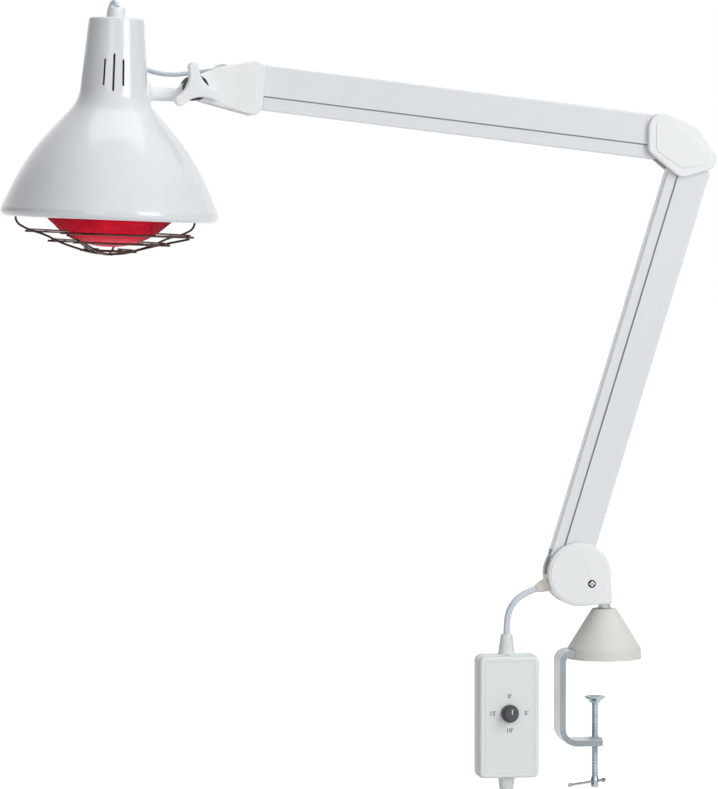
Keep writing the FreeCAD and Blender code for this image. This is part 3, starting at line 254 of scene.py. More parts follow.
def wear_group():
    """Worn edges: a mask where the surface turns sharply, broken up by noise."""
    tree, given, out = shader_group("Edge wear", [
        ("Bare", "Color", WHITE), ("Width", "Float", 0.001), ("Amount", "Float", 0.5),
        ("Break Up", "Float", 160.0)], STAIN)
    soft = add(tree, "Bevel", {"Radius": given["Width"]}, samples=6).outputs[0]
    edge = ramp(tree, vector_calc(tree, "DOT_PRODUCT", soft, surface_normal(tree))["Value"], 0.99, 0.80)
    spots = ramp(tree, noise(tree, given["Place"], given["Break Up"], 4.0, 0.6), 0.36, 0.62)
    return stained(tree, given, out, "Bare", edge, spots)


def dust_group():
    """A thin film in patches on faces that look up."""
    tree, given, out = shader_group("Dust film", [
        ("Dust", "Color", (0.5, 0.48, 0.44, 1)), ("Amount", "Float", 0.2), ("Patch Size", "Float", 30.0)], STAIN)
    up = ramp(tree, part_along(tree, surface_normal(tree), "Z"), 0.2, 1.0)
    patch = ramp(tree, noise(tree, given["Place"], given["Patch Size"], 4.0, 0.65), 0.4, 0.75)
    return stained(tree, given, out, "Dust", up, patch)


def drawn_group():
    """Fine lines along one axis, as drawn wire and turned steel show."""
    tree, given, out = shader_group("Drawn lines", [
        ("Stretch", "Vector", (1, 1, 1)), ("Dark", "Color", (0.2, 0.2, 0.2, 1)), ("Line Size", "Float", 600.0),
        ("Gloss", "Float", 0.3)], SKIN)
    drawn = vector_calc(tree, "MULTIPLY", given["Place"], given["Stretch"])["Vector"]
    lines = noise(tree, drawn, given["Line Size"], 2.0, 0.6)
    tarnish = ramp(tree, noise(tree, given["Place"], 45.0, 4.0, 0.6), 0.42, 0.78)
    plug(tree, blend_colour(tree, tarnish, given["Colour"], given["Dark"]), out["Colour"])
    plug(tree, swayed(tree, given["Gloss"], lines, 0.22), out["Roughness"])
    plug(tree, lines, out["Height"])
    return tree


def seam_shade_group():
    """A painted shadow line where the outer channel's wall edge falls on the inner channel: dark, straight
    across one direction at a distance from the origin.
    """
    tree, given, out = shader_group("Shaded line", [
        ("Across", "Vector", (0, 0, 1)), ("Distance", "Float", 0.0), ("Width", "Float", 0.001),
        ("Dark", "Color", (0.1, 0.1, 0.1, 1)), ("Amount", "Float", 0.8)], STAIN)
    along = vector_calc(tree, "DOT_PRODUCT", given["Place"], given["Across"])["Value"]
    off = calc(tree, "ABSOLUTE", calc(tree, "SUBTRACT", along, given["Distance"]))
    line = ramp(tree, calc(tree, "DIVIDE", off, given["Width"]), 0.62, 0.38)
    return stained(tree, given, out, "Dark", line)


def crevice_group():
    """Painted shade: darker where surfaces stand close together."""
    tree, given, out = shader_group("Crevice dirt", [
        ("Dirt", "Color", (0.02, 0.02, 0.02, 1)), ("Reach", "Float", 0.008), ("Low", "Float", 0.25),
        ("High", "Float", 0.6), ("Amount", "Float", 0.9)], STAIN)
    near = add(tree, "AmbientOcclusion", {"Distance": given["Reach"]}, samples=8).outputs["AO"]
    open_share = swayed(tree, near, noise(tree, given["Place"], 260.0), 0.2)
    return stained(tree, given, out, "Dirt", ramp(tree, open_share, given["High"], given["Low"]))


MAKERS = {"mottle": mottle_group, "wear": wear_group, "dust": dust_group, "drawn": drawn_group,
          "seam_shade": seam_shade_group, "crevice": crevice_group}
GROUPS = {}


# ---------------------------------------------------------------- finishes
def tone(rgb, factor=1.0):
    """An opaque colour, made darker by the factor."""
    return (rgb[0] * factor, rgb[1] * factor, rgb[2] * factor, 1.0)


class Finish:
    """A material with its shader, and Object coordinates to place its patterns."""

    def __init__(self, name, **sockets):
        self.material = bpy.data.materials.new(name)
        self.material.use_nodes = True
        self.tree = self.material.node_tree
        self.shader = self.tree.nodes["Principled BSDF"]
        self.place = add(self.tree, "TexCoord").outputs["Object"]
        self.feed(**sockets)

    def feed(self, **sockets):
        for key, value in sockets.items():
            plug(self.tree, value, self.shader.inputs[key.replace("_", " ")])

    def layer(self, group, **values):
        """Outputs of a shared group, placed on the material's own coordinates."""
        if group not in GROUPS:
            GROUPS[group] = MAKERS[group]()
        node = self.tree.nodes.new("ShaderNodeGroup")
        node.node_tree = GROUPS[group]
        for key, value in {"Place": self.place, **values}.items():
            plug(self.tree, value, node.inputs[key.replace("_", " ")])
        return node.outputs

    def relief(self, height, depth, size=0.0006, edge=0.0):
        values = {"Strength": depth, "Distance": size, "Height": height}
        if edge:
            values["Normal"] = add(self.tree, "Bevel", {"Radius": edge}, samples=4).outputs[0]
        self.feed(Normal=add(self.tree, "Bump", values).outputs[0])


def moulded(name, rgb, gloss, grain=0.25, grain_size=1400.0, drift=0.97, dust=0.10, edge=0.0, line=None,
            painted_shade=None, **sockets):
    """Moulded or painted surface: drift, grain and dust, and where asked soft edges, a painted shadow line and
    painted shade in creases.
    """
    finish = Finish(name, **sockets)
    tree = finish.tree
    skin = finish.layer("mottle", Colour=tone(rgb), Drift=tone(rgb, drift), Drift_Size=9.0, Gloss=gloss,
                        Gloss_Spread=0.10, Grain_Size=grain_size)
    film = finish.layer("dust", Colour=skin["Colour"], Amount=dust, Dust=tone(rgb, 0.80), Patch_Size=26.0)
    paint = film["Colour"]
    # A painted shadow line, where asked.
    if line:
        paint = finish.layer("seam_shade", Colour=paint, Dark=tone(hue("6d7378")), **line)["Colour"]
    # Painted shade in creases and gaps, where asked.
    if painted_shade:
        paint = finish.layer("crevice", Colour=paint, Dirt=tone(hue("26292b")), **painted_shade)["Colour"]
    dull = calc(tree, "MULTIPLY", film["Mask"], 0.5)
    finish.feed(Base_Color=paint, Roughness=calc(tree, "ADD", skin["Roughness"], dull))
    finish.relief(skin["Height"], grain, edge=edge)
    return finish


def metal(name, rgb, gloss, stretch, dark=0.62, lines=900.0, painted_shade=None):
    """Drawn or turned metal, with its lines long where stretch is small, and where asked painted shade in
    creases and gaps.
    """
    finish = Finish(name, Metallic=1.0)
    skin = finish.layer("drawn", Stretch=stretch, Colour=tone(rgb), Dark=tone(rgb, dark), Line_Size=lines,
                        Gloss=gloss)
    paint = skin["Colour"]
    # Painted shade in creases and gaps, where asked.
    if painted_shade:
        paint = finish.layer("crevice", Colour=paint, **painted_shade)["Colour"]
    finish.feed(Base_Color=paint, Roughness=skin["Roughness"])
    finish.relief(skin["Height"], 0.08, 0.0003)
    return finish


def clamp_paint(edges, faces):
    """Silver paint with painted shade and painted light: darker on the bar's edges, which face along Y, lighter
    on its broad faces, and worn on the corners.
    """
    finish = Finish("silver clamp paint", Metallic=0.15)
    tree = finish.tree
    # Faces that look along Y take the darker tone as painted shade; the others take the lighter tone as painted
    # light.
    shadowed = ramp(tree, calc(tree, "ABSOLUTE", part_along(tree, surface_normal(tree), "Y")), 0.35, 0.75)
    skin = finish.layer("mottle", Colour=tone(edges), Drift=tone(edges, 0.86), Drift_Size=40.0, Gloss=0.42,
                        Gloss_Spread=0.16, Grain_Size=750.0)
    coat = blend_colour(tree, shadowed, tone(faces), skin["Colour"])
    worn = finish.layer("wear", Colour=coat, Bare=tone(hue("c9d0d3")), Width=0.0012, Amount=0.7)
    finish.feed(Base_Color=worn["Colour"], Roughness=skin["Roughness"])
    finish.relief(skin["Height"], 0.25)
    return finish


def disc_screw_steel():
    """Steel with painted shade: a dark ring round the screw's axis, where its head meets its seat, and darker in
    its recess.
    """
    finish = metal("disc screw steel", hue("e2e6e8"), 0.26, (1, 0.05, 1), dark=0.8,
                   painted_shade={"Reach": 0.0022, "Low": 0.30, "High": 0.80})
    tree = finish.tree
    low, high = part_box("cover_screw")
    flat = vector_calc(tree, "MULTIPLY", finish.place, (1, 0, 1))["Vector"]
    centre = ((low.x + high.x) / 2, 0, (low.z + high.z) / 2)
    # Painted shade: darker outside this distance from the screw's axis.
    ring = ramp(tree, vector_calc(tree, "DISTANCE", flat, centre)["Value"], 0.0021, 0.0026)
    bright = finish.shader.inputs["Base Color"].links[0].from_socket
    finish.feed(Base_Color=blend_colour(tree, ring, bright, tone(hue("34393b"))))
    return finish


def ruby_glass(rgb):
    """Ruby face with painted light: a glow painted in from the middle, a painted pink highlight towards its foot
    and painted streaks, under a silvered neck.
    """
    finish = Finish("ruby bulb glass", Specular_IOR_Level=0.0, Coat_Weight=0.06, Coat_Roughness=0.08)
    tree = finish.tree
    skin = finish.layer("mottle", Colour=tone(rgb), Drift=tone(rgb, 0.62), Drift_Size=26.0, Gloss=0.24,
                        Gloss_Spread=0.08, Grain_Size=160.0)
    axis = (Vector(SHADE_TOP) - Vector(BULB_MIDDLE)).normalized()
    from_middle = vector_calc(tree, "SUBTRACT", finish.place, BULB_MIDDLE)["Vector"]
    height = vector_calc(tree, "DOT_PRODUCT", from_middle, tuple(axis))["Value"]
    bar = vector_calc(tree, "MULTIPLY", from_middle, (1.0, 0.35, 0.2))["Vector"]
    # Painted glow, brightest near the middle of the face.
    painted_glow = ramp(tree, vector_calc(tree, "LENGTH", bar)["Value"], 0.056, 0.012, 0.06, 0.58)
    silvered = ramp(tree, height, 0.002, 0.006)
    foot = (Vector(BULB_MIDDLE).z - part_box("bulb_glass")[0].z) / axis.z
    # Painted pink highlight towards the foot.
    pale = calc(tree, "MULTIPLY", ramp(tree, height, -foot * 0.45, -foot), 0.55)
    # Painted streaks of reflection in the glow.
    painted_streaks = ramp(tree, noise(tree, finish.place, 85.0, 6.0, 0.75), 0.30, 0.72, 0.72, 1.30)
    finish.feed(Base_Color=blend_colour(tree, silvered, skin["Colour"], tone(hue("b08a62"))),
                Roughness=skin["Roughness"], Metallic=calc(tree, "MULTIPLY", silvered, 0.9),
                Emission_Color=blend_colour(tree, pale, tone(rgb), tone(hue("e0909a"))),
                Emission_Strength=calc(tree, "MULTIPLY", calc(tree, "SUBTRACT", 1.0, silvered), painted_streaks, painted_glow))
    finish.relief(skin["Height"], 0.2, 0.002)
    return finish


def cord_sheath(name, rgb):
    return moulded(name, rgb, 0.42, grain=0.15, grain_size=1600.0, drift=0.95, dust=0.15,
                   Sheen_Weight=0.08).material


def material_of(node):
    """The material that the CAD node was given."""
    return NODES[node].data.materials[0]


# ---------------------------------------------------------------- mesh helpers
def new_piece(name, data):
    piece = bpy.data.objects.new(name, data)
    bpy.context.scene.collection.objects.link(piece)
    return piece


def mesh_object(name, points, faces, material=None, smooth=True):
    mesh = bpy.data.meshes.new(name)
    mesh.from_pydata([tuple(p) for p in points], [], faces)
    mesh.update()
    if material:
        mesh.materials.append(material)
    for polygon in mesh.polygons:
        polygon.use_smooth = smooth
    return new_piece(name, mesh)


def cleaned(piece):
    """Welds doubles, turns every face outwards and keeps the sharp edges sharp."""
    work = bmesh.new()
    work.from_mesh(piece.data)
    bmesh.ops.remove_doubles(work, verts=work.verts, dist=WELD)
    bmesh.ops.recalc_face_normals(work, faces=work.faces)
    work.to_mesh(piece.data)
    work.free()
    piece.data.update()
    piece.data.set_sharp_from_angle(angle=math.radians(40))


def baked(piece):
    """A mesh piece that replaces this one under its name, with its modifiers made real."""
    graph = bpy.context.evaluated_depsgraph_get()
    mesh = bpy.data.meshes.new_from_object(piece.evaluated_get(graph), depsgraph=graph)
    name, old = piece.name, piece.data
    bpy.data.objects.remove(piece)
    bpy.data.batch_remove([old])
    mesh.name = name
    return new_piece(name, mesh)


def rule_tree(name, inputs):
    """An empty geometry tree for a modifier, with one geometry out."""
    tree, given, out = new_tree(name, "GeometryNodeTree", [("Geometry", "Geometry", None)] + inputs,
                                [("Geometry", "Geometry")])
    tree.is_modifier = True
    return tree, given, out[0]


def form(tree, kind, values=(), **settings):
    """The first output of a new geometry node."""
    return add(tree, kind, values, family="GeometryNode", **settings).outputs[0]


def vector(tree, x=0.0, y=0.0, z=0.0):
    return add(tree, "CombineXYZ", {"X": x, "Y": y, "Z": z}).outputs[0]


def moved(tree, shape, **placing):
    return form(tree, "Transform", {"Geometry": shape, **placing})


def closed(tree, shapes, material, out):
    """Joins the shapes, makes their instances real and gives them their material."""
    real = form(tree, "RealizeInstances", {"Geometry": form(tree, "JoinGeometry", {0: shapes})})
    soft = form(tree, "SetShadeSmooth", {"Geometry": real})
    plug(tree, form(tree, "SetMaterial", {"Geometry": soft, "Material": material}), out)


def grown(name, tree, places, values):
    """A mesh that the tree makes from its points, with the modifier made real."""
    holder = mesh_object(name, places, [])
    rule = holder.modifiers.new("rule", "NODES")
    rule.node_group = tree
    for item in tree.interface.items_tree:
        if item.item_type == "SOCKET" and item.in_out == "INPUT" and item.name in values:
            rule[item.identifier] = values[item.name]
    piece = baked(holder)
    piece.data.set_sharp_from_angle(angle=math.radians(35))
    return piece


def spring_tree():
    """A close-wound coil up Z from the origin, with a flat anchor plate in each end."""
    tree, given, out = rule_tree("Close-wound spring", [
        ("Length", "Float", 0.168), ("Turns", "Float", 96.0), ("Mean Radius", "Float", 0.0043),
        ("Wire", "Float", 0.0013), ("Plate Thickness", "Float", 0.002), ("Near Plate", "Float", 0.003),
        ("Far Plate", "Float", 0.006), ("Material", "Material", None)])
    coil = form(tree, "CurveSpiral", {
        "Resolution": 14, "Rotations": given["Turns"], "Start Radius": given["Mean Radius"],
        "End Radius": given["Mean Radius"], "Height": calc(tree, "SUBTRACT", given["Length"], given["Wire"])})
    half_wire = calc(tree, "MULTIPLY", given["Wire"], 0.5)
    section = form(tree, "CurvePrimitiveCircle", {"Resolution": 8, "Radius": half_wire})
    wire = form(tree, "CurveToMesh", {"Curve": coil, "Profile Curve": section, "Fill Caps": True})
    shapes = [moved(tree, wire, Translation=vector(tree, z=half_wire))]
    inner = calc(tree, "MULTIPLY", calc(tree, "SUBTRACT", given["Mean Radius"], given["Wire"]), 1.4)
    bite = 0.004
    for label in ("Near Plate", "Far Plate"):
        long = calc(tree, "ADD", given[label], bite)
        plate = form(tree, "MeshCube", {"Size": vector(tree, inner, given["Plate Thickness"], long)})
        half = calc(tree, "SUBTRACT", calc(tree, "MULTIPLY", long, 0.5), given[label])
        place = half if label == "Near Plate" else calc(tree, "SUBTRACT", given["Length"], half)
        shapes.append(moved(tree, plate, Translation=vector(tree, z=place)))
    closed(tree, shapes, given["Material"], out)
    return tree


def screw_tree():
    """Cross-recessed screws that point down Z, with the seat of the head at each point."""
    tree, given, out = rule_tree("Cross-recessed screws", [
        ("Head Radius", "Float", 0.0027), ("Head Height", "Float", 0.002), ("Shank Radius", "Float", 0.0014),
        ("Shank Length", "Float", 0.02), ("Recess", "Float", 0.62), ("Turn", "Float", 0.4),
        ("Material", "Material", None)])
    radius, height, deep = given["Head Radius"], given["Head Height"], given["Shank Length"]

    def share(value, *factors):
        return calc(tree, "MULTIPLY", value, *factors)

    def raised(shape, z, **placing):
        return moved(tree, shape, Translation=vector(tree, z=z), **placing)

    rim = form(tree, "MeshCylinder", {"Vertices": 40, "Radius": radius, "Depth": share(height, 0.62)})
    dome = form(tree, "MeshUVSphere", {"Segments": 40, "Rings": 20, "Radius": radius})
    flat = vector(tree, 0.9995, 0.9995, calc(tree, "DIVIDE", share(height, 0.40), radius))
    solids = [raised(dome, share(height, 0.60), Scale=flat), raised(rim, share(height, 0.31))]
    head = form(tree, "MeshBoolean", {"Mesh 2": solids}, operation="UNION", solver="EXACT")
    reach, slim, tall = share(radius, given["Recess"], 2.0), share(radius, 0.24), share(height, 1.4)
    bars = [raised(form(tree, "MeshCube", {"Size": vector(tree, x, y, tall)}), height)
            for x, y in ((reach, slim), (slim, reach))]
    cut = form(tree, "MeshBoolean", {"Mesh 1": head, "Mesh 2": bars}, operation="DIFFERENCE", solver="EXACT")
    shank = form(tree, "MeshCylinder", {"Vertices": 24, "Radius": given["Shank Radius"],
                                        "Depth": calc(tree, "ADD", deep, 0.0001)})
    shank = raised(shank, calc(tree, "SUBTRACT", 0.00005, share(deep, 0.5)))
    both = form(tree, "JoinGeometry", {0: [cut, shank]})
    spots = form(tree, "InstanceOnPoints", {
        "Points": given["Geometry"], "Instance": moved(tree, both, Rotation=vector(tree, z=given["Turn"]))})
    closed(tree, [spots], given["Material"], out)
    return tree


def nurbs(name, points, diameter, material):
    """A round cord on a smooth line through the route."""
    curve = bpy.data.curves.new(name, "CURVE")
    curve.dimensions = "3D"
    curve.resolution_u = 8
    curve.bevel_depth = diameter / 2
    curve.bevel_resolution = 5
    curve.use_fill_caps = True
    line = curve.splines.new("NURBS")
    line.points.add(len(points) - 1)
    for point, place in zip(line.points, points):
        point.co = (*place, 1.0)
    line.order_u = 3
    line.use_endpoint_u = True
    line.use_smooth = True
    curve.materials.append(material)
    return new_piece(name, curve)


def line_points(piece):
    """The points of a curve's own line, as its spline gives them."""
    thin = piece.data.copy()
    thin.bevel_depth = 0.0
    line = baked(new_piece("line", thin))
    points = [tuple(v.co) for v in line.data.vertices]
    bpy.data.batch_remove([line, line.data])
    return points


def turned(profile, around=64):
    """Points and faces of a profile of (radius, height) turned about Z; a radius of 0 closes a pole."""
    points, faces, rings = [], [], []
    for radius, height in profile:
        count = around if radius else 1
        rings.append(range(len(points), len(points) + count))
        points += [Vector((radius * math.cos(2 * math.pi * i / around),
                           radius * math.sin(2 * math.pi * i / around), height)) for i in range(count)]
    for low, high in zip(rings, rings[1:]):
        for i in range(around):
            j = (i + 1) % around
            if len(low) == 1:
                faces.append((low[0], high[j], high[i]))
            elif len(high) == 1:
                faces.append((low[i], low[j], high[0]))
            else:
                faces.append((low[i], low[j], high[j], high[i]))
    return points, faces


# ---------------------------------------------------------------- places, in metres
WELD = 1e-6
DIAL = (-0.0994, -0.014, -0.0531)
SHADE_TOP = (-0.492721, 0.0, 0.642534)
BULB_MIDDLE = (-0.500440, 0.0, 0.443184)
SPRING_START, SPRING_LONG, SPRING_RISE = 0.0150, 0.1650, 0.0012    # along the arm, and off its pivot line
SPRING_RADIUS = 0.005
SUNK_FACE = 0.00005      # of the lid's face behind its bead
WALL_EDGE = 0.0172       # from the outer channel's pivots to the edge of its walls
# Width of the painted shadow line along the outer channel's wall edge.
SHADOW_LINE_WIDTH = 0.0026
SPINDLE_X = -0.0094
HANDLE_TURN = math.radians(221.0)      # of the sliding bar, about Z
HEAD_ROUTE = [
    (-0.492306, 0.0, 0.653326), (-0.492906, 0.0022, 0.6572), (-0.494106, 0.0089, 0.6591),
    (-0.495706, 0.0184, 0.6575), (-0.497006, 0.0290, 0.6510), (-0.497406, 0.0380, 0.639726),
    (-0.494706, 0.0430, 0.622326), (-0.480306, 0.0425, 0.603326), (-0.458306, 0.0340, 0.590926),
    (-0.437306, 0.0218, 0.586526), (-0.417417, 0.0122, 0.588846), (-0.394417, 0.0, 0.591046),
]
TIMER_ROUTE = [
    (-0.069182, 0.0, 0.071556), (-0.082808, 0.0, 0.066597), (-0.093782, 0.0009, 0.056956),
    (-0.0994, 0.0040, 0.0424), (-0.0994, 0.0040, 0.0254),
]
BOX_OUTLET = (-0.0994, 0.0040, -0.1396)
COIL_MIDDLE = (-0.1374, 0.0040, -0.20293)
COIL_RADIUS = 0.038
PLUG_INLET = (-0.0994, 0.0040, -0.25426)
# Places of the strands across the coil's bundle, in pitches: outwards, and towards the back.
COIL_PLACES = [(1, -1), (1, 0), (0, 0), (0, -1), (-1, -1), (-1, 0), (-1, 1), (0, 1), (1, 1)]
# Degrees that the cord stays in one place, that it takes to leave or reach it, and between its points.
COIL_STAY, COIL_CHANGE, COIL_STEP = 280.0, 20, 18.0
# Name, place, aim, size and power of each light.
LIGHTS = (("key light", (1.5, -2.5, 1.35), (-0.35, 0, 0.45), (1.5, 2.2), 44),
          ("left light", (-1.7, -3.2, 1.0), (-0.3, 0, 0.4), (1.3, 2.0), 13),
          ("top light", (-0.2, 0.3, 2.8), (-0.2, 0, 0.3), (2.4, 1.6), 20))
CAMERA_TARGET = (-0.25042, 0.0, 0.26822)
CAMERA_AZIMUTH, CAMERA_HEIGHT, CAMERA_DISTANCE = math.radians(-8.5), math.radians(2.6), 4.69
SENSOR = 36.0                                   # height in millimetres
FOCAL_PIXELS, FRAME_PIXELS = 4690.0, 789.0      # the lens and the frame's height, in pixels


def arm_lines():
    """Each arm's name, its first pivot, the direction along it and the direction across it."""
    for arm, first, last in (("lower", "lower_arm", "elbow_low"), ("upper", "upper_arm", "bracket_level")):
        start, end = (Vector(JOINTS[name]["pos_m"]) for name in (first, last))
        way = (end - start).normalized()
        yield arm, start, way, Vector((-way.z, 0.0, way.x))


def mains_route(pitch):
    """From the timer box down, seven turns round the coil, and down to the plug."""
    x, y, z = COIL_MIDDLE

    def beside(out, back, up):
        return Vector((x + COIL_RADIUS + pitch * out, y + pitch * back, z + up))

    points = [Vector(BOX_OUTLET), Vector(BOX_OUTLET) + Vector((0.0, 0.0, -0.012)),
              beside(0.5, -0.6, 0.040), beside(1, -1, 0.022)]
    total = COIL_STAY * len(COIL_PLACES)
    steps = int(total / COIL_STEP)
    for i in range(steps + 1):
        turn = total * i / steps
        k = min(int(turn / COIL_STAY), len(COIL_PLACES) - 1)
        out, back = COIL_PLACES[k]
        for near, other in (((k + 1) * COIL_STAY - turn, k + 1), (turn - k * COIL_STAY, k - 1)):
            if near < COIL_CHANGE and 0 <= other < len(COIL_PLACES):
                share = 0.5 - near / (2 * COIL_CHANGE)
                out += (COIL_PLACES[other][0] - out) * share
                back += (COIL_PLACES[other][1] - back) * share
        radius = (COIL_RADIUS + out * pitch) / math.cos(math.radians(COIL_STEP / 2)) ** 0.5
        a = math.radians(-turn)
        points.append(Vector((x + radius * math.cos(a), y + back * pitch, z + radius * math.sin(a))))
    points += [beside(1, 1, -0.022), beside(0.45, 0.5, -0.036),
               Vector(PLUG_INLET) + Vector((0.0, 0.0, 0.008)), Vector(PLUG_INLET)]
    return points


# ---------------------------------------------------------------- stage
def pale_floor():
    finish = Finish("pale floor", Roughness=0.75, Emission_Color=WHITE)
    tree = finish.tree
    rays = add(tree, "LightPath").outputs
    seen = calc(tree, "MAXIMUM", rays["Is Camera Ray"], rays["Is Glossy Ray"], rays["Is Transmission Ray"])
    cloud = noise(tree, finish.place, 3.0)
    finish.feed(Base_Color=blend_colour(tree, cloud, (0.62, 0.62, 0.62, 1), (0.66, 0.66, 0.66, 1)),
                Emission_Strength=calc(tree, "MULTIPLY", seen, 0.78))
    low = CAD_BOX[0][2] - 0.001
    floor = mesh_object("floor", [(-12, -6, low), (12, -6, low), (12, 26, low), (-12, 26, low)],
                        [(0, 1, 2, 3)], finish.material, smooth=False)


def white_room():
    """White to the camera, and shaded towards both sides where it lights the lamp or is mirrored in it."""
    world = bpy.data.worlds.new("white room")
    bpy.context.scene.world = world
    world.use_nodes = True
    tree = world.node_tree
    rays = add(tree, "LightPath").outputs
    side = part_along(tree, add(tree, "TexCoord").outputs["Generated"], "X")
    shade = calc(tree, "MULTIPLY", ramp(tree, side, -0.98, -0.20, 0.06, 1.0),
                 ramp(tree, side, 1.0, 0.60, 0.35, 1.0))
    level = calc(tree, "MAXIMUM", rays["Is Camera Ray"], rays["Is Transmission Ray"],
                 calc(tree, "MULTIPLY", rays["Is Glossy Ray"], shade), calc(tree, "MULTIPLY", shade, 0.60))
    back = tree.nodes["Background"].inputs
    plug(tree, level, back["Strength"])
    plug(tree, WHITE, back["Color"])


def aimed(name, data, place, way):
    """A light or camera at the place that looks along the way."""
    holder = new_piece(name, data)
    holder.matrix_world = Matrix.Translation(place) @ way.to_track_quat("-Z", "Y").to_matrix().to_4x4()
    return holder


def soft_lights():
    for name, place, aim, size, power in LIGHTS:
        light = bpy.data.lights.new(name, "AREA")
        light.shape = "RECTANGLE"
        light.size, light.size_y = size
        light.energy = power
        aimed(name, light, place, Vector(aim) - Vector(place))


def long_lens():
    camera = bpy.data.cameras.new("camera")
    camera.sensor_fit = "VERTICAL"
    camera.sensor_height = SENSOR
    camera.lens = SENSOR * FOCAL_PIXELS / FRAME_PIXELS
    camera.clip_start, camera.clip_end = 0.1, 100.0
    level = math.cos(CAMERA_HEIGHT)
    way = Vector((math.sin(CAMERA_AZIMUTH) * level, -math.cos(CAMERA_AZIMUTH) * level,
                  math.sin(CAMERA_HEIGHT)))
    bpy.context.scene.camera = aimed("camera", camera, Vector(CAMERA_TARGET) + way * CAMERA_DISTANCE, -way)


class HEAT_LAMP_OT_stage(Operator):
    """Floor, white surroundings, soft lights and the camera"""
    bl_idname = "heat_lamp.stage"
    bl_label = "Stage"

    def execute(self, context):
        context.scene.view_settings.view_transform = "Standard"
        pale_floor()
        white_room()
        soft_lights()
        long_lens()
        return {"FINISHED"}


# ---------------------------------------------------------------- the lamp
class HEAT_LAMP_OT_finishes(Operator):
    """Paint, plastic, metal, rubber and glass of the solid parts"""
    bl_idname = "heat_lamp.finishes"
    bl_label = "Finishes"

    def execute(self, context):
        c = context.scene.lamp_colours
        enamel = {"grain": 0.05, "grain_size": 420.0, "drift": 0.985, "dust": 0.05, "edge": 0.0006,
                  "Coat_Weight": 0.35, "Coat_Roughness": 0.06}
        table = [
            (moulded("white gloss enamel", c.enamel, 0.17, **enamel),
             "shade lower_outer_channel upper_outer_channel"),
            # The castings darken where surfaces stand close together: painted shade.
            (moulded("white painted casting", c.casting, 0.38, grain=0.30, grain_size=620.0, drift=0.95,
                     painted_shade={"Reach": 0.010, "Low": 0.22, "High": 0.62}, Coat_Weight=0.15),
             "base_bracket elbow_frame head_bracket"),
            # The head stub is a casting; it takes this lighter white as painted light where the lampshade shades
            # it.
            (moulded("white moulded cover", c.shell, 0.40, grain=0.14, grain_size=1500.0, drift=0.98),
             "elbow_cap_front elbow_cap_back bracket_cover_front bracket_cover_back disc_cover_front "
             "disc_cover_back head_stub wing_knob top_gland lead_grommet plug_body"),
            (moulded("stone cone plastic", c.cone, 0.52, grain=0.30, grain_size=1300.0), "cone_cover"),
            (moulded("timer box plastic", c.box, 0.46, grain=0.24, grain_size=1700.0, drift=0.985),
             "timer_base timer_lid timer_reliefs"),
            (moulded("black rubber", hue("2a2a2b"), 0.72, grain=0.5, grain_size=900.0, drift=0.7), "jaw_pad"),
            (moulded("natural nylon", hue("e3dfd2"), 0.45, grain=0.1, drift=0.94),
             "socket_bush lead_bush timer_unit"),
            # The washers are real; their dark grey is painted shade round the hand nut.
            (moulded("grey fibre washer", hue("4c5053"), 0.55, grain=0.3, grain_size=1100.0, drift=0.85),
             "knuckle_washers"),
            # The holder's brown is partly its own and partly painted light: the orange glow seen through the
            # shade's slots.
            (moulded("brown phenolic", hue("6e401c"), 0.35, grain=0.1, drift=0.7), "lampholder"),
            (moulded("dial body plastic", c.knob, 0.42, grain_size=1500.0, drift=0.9), "timer_knob"),
            (moulded("black tie", hue("26282a"), 0.5, grain=0.2, drift=0.8), "cord_tie"),
            (clamp_paint(c.clamp, c.clamp_face), "clamp_frame"),
            # The zinc darkens where surfaces stand close, as in the thread's roots: painted shade.
            (metal("bright zinc", c.steel, 0.17, (1, 1, 0.05), dark=0.5,
                   painted_shade={"Reach": 0.0012, "Low": 0.30, "High": 0.80}), "clamp_spindle clamp_pad"),
            (metal("turned steel", hue("b9bbbc"), 0.28, (0.05, 1, 1)),
             "tommy_bar base_pins bracket_pins elbow_pins swivel_pin pin_socket stub_screws clamp_bolt "
             "lower_spring_pin upper_spring_pin timer_screws timer_shaft holder_tube plug_pins"),
            (disc_screw_steel(), "cover_screw"),
            (metal("spring wire", hue("8f9290"), 0.36, (1, 1, 1)), "lower_spring upper_spring"),
            (metal("bulb cap metal", hue("b9a67c"), 0.32, (1, 1, 0.1)), "bulb_cap"),
            # The wire is black nickel; its brown tint is partly painted reflection of the red bulb.
            (metal("black nickel guard wire", c.nickel, 0.24, (1, 1, 1), dark=0.25, lines=500.0),
             "guard guard_clips"),
            (metal("filament", hue("5c5a58"), 0.4, (1, 1, 1)), "bulb_filament"),
            (ruby_glass(c.ruby), "bulb_glass"),
        ]
        # Each inner channel gets a painted shadow line where the outer channel's wall edge would shade it.
        for arm, pivot, _, across in arm_lines():
            line = {"Across": across, "Distance": across.dot(pivot) + WALL_EDGE, "Width": SHADOW_LINE_WIDTH}
            table.append((moulded(arm + " arm enamel with shadow line", c.enamel, 0.22, line=line, **enamel),
                          arm + "_inner_channel"))
        for finish, names in table:
            for name in names.split():
                mesh = NODES[name].data
                mesh.materials.clear()
                mesh.materials.append(finish.material)
        return {"FINISHED"}


class HEAT_LAMP_OT_head_cord(Operator):
    """Cord from the shade's gland down to the arm's head joint"""
    bl_idname = "heat_lamp.head_cord"
    bl_label = "Head cord"

    def execute(self, context):
        sizes, colours = context.scene.lamp_sizes, context.scene.lamp_colours
        cord = nurbs("head_cord", HEAD_ROUTE, sizes.head_cord, cord_sheath("head cord sheath", colours.cable))
        path = line_points(cord)
        cord = baked(cord)
        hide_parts("head_lead")
        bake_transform(cord)
        return {"FINISHED"}


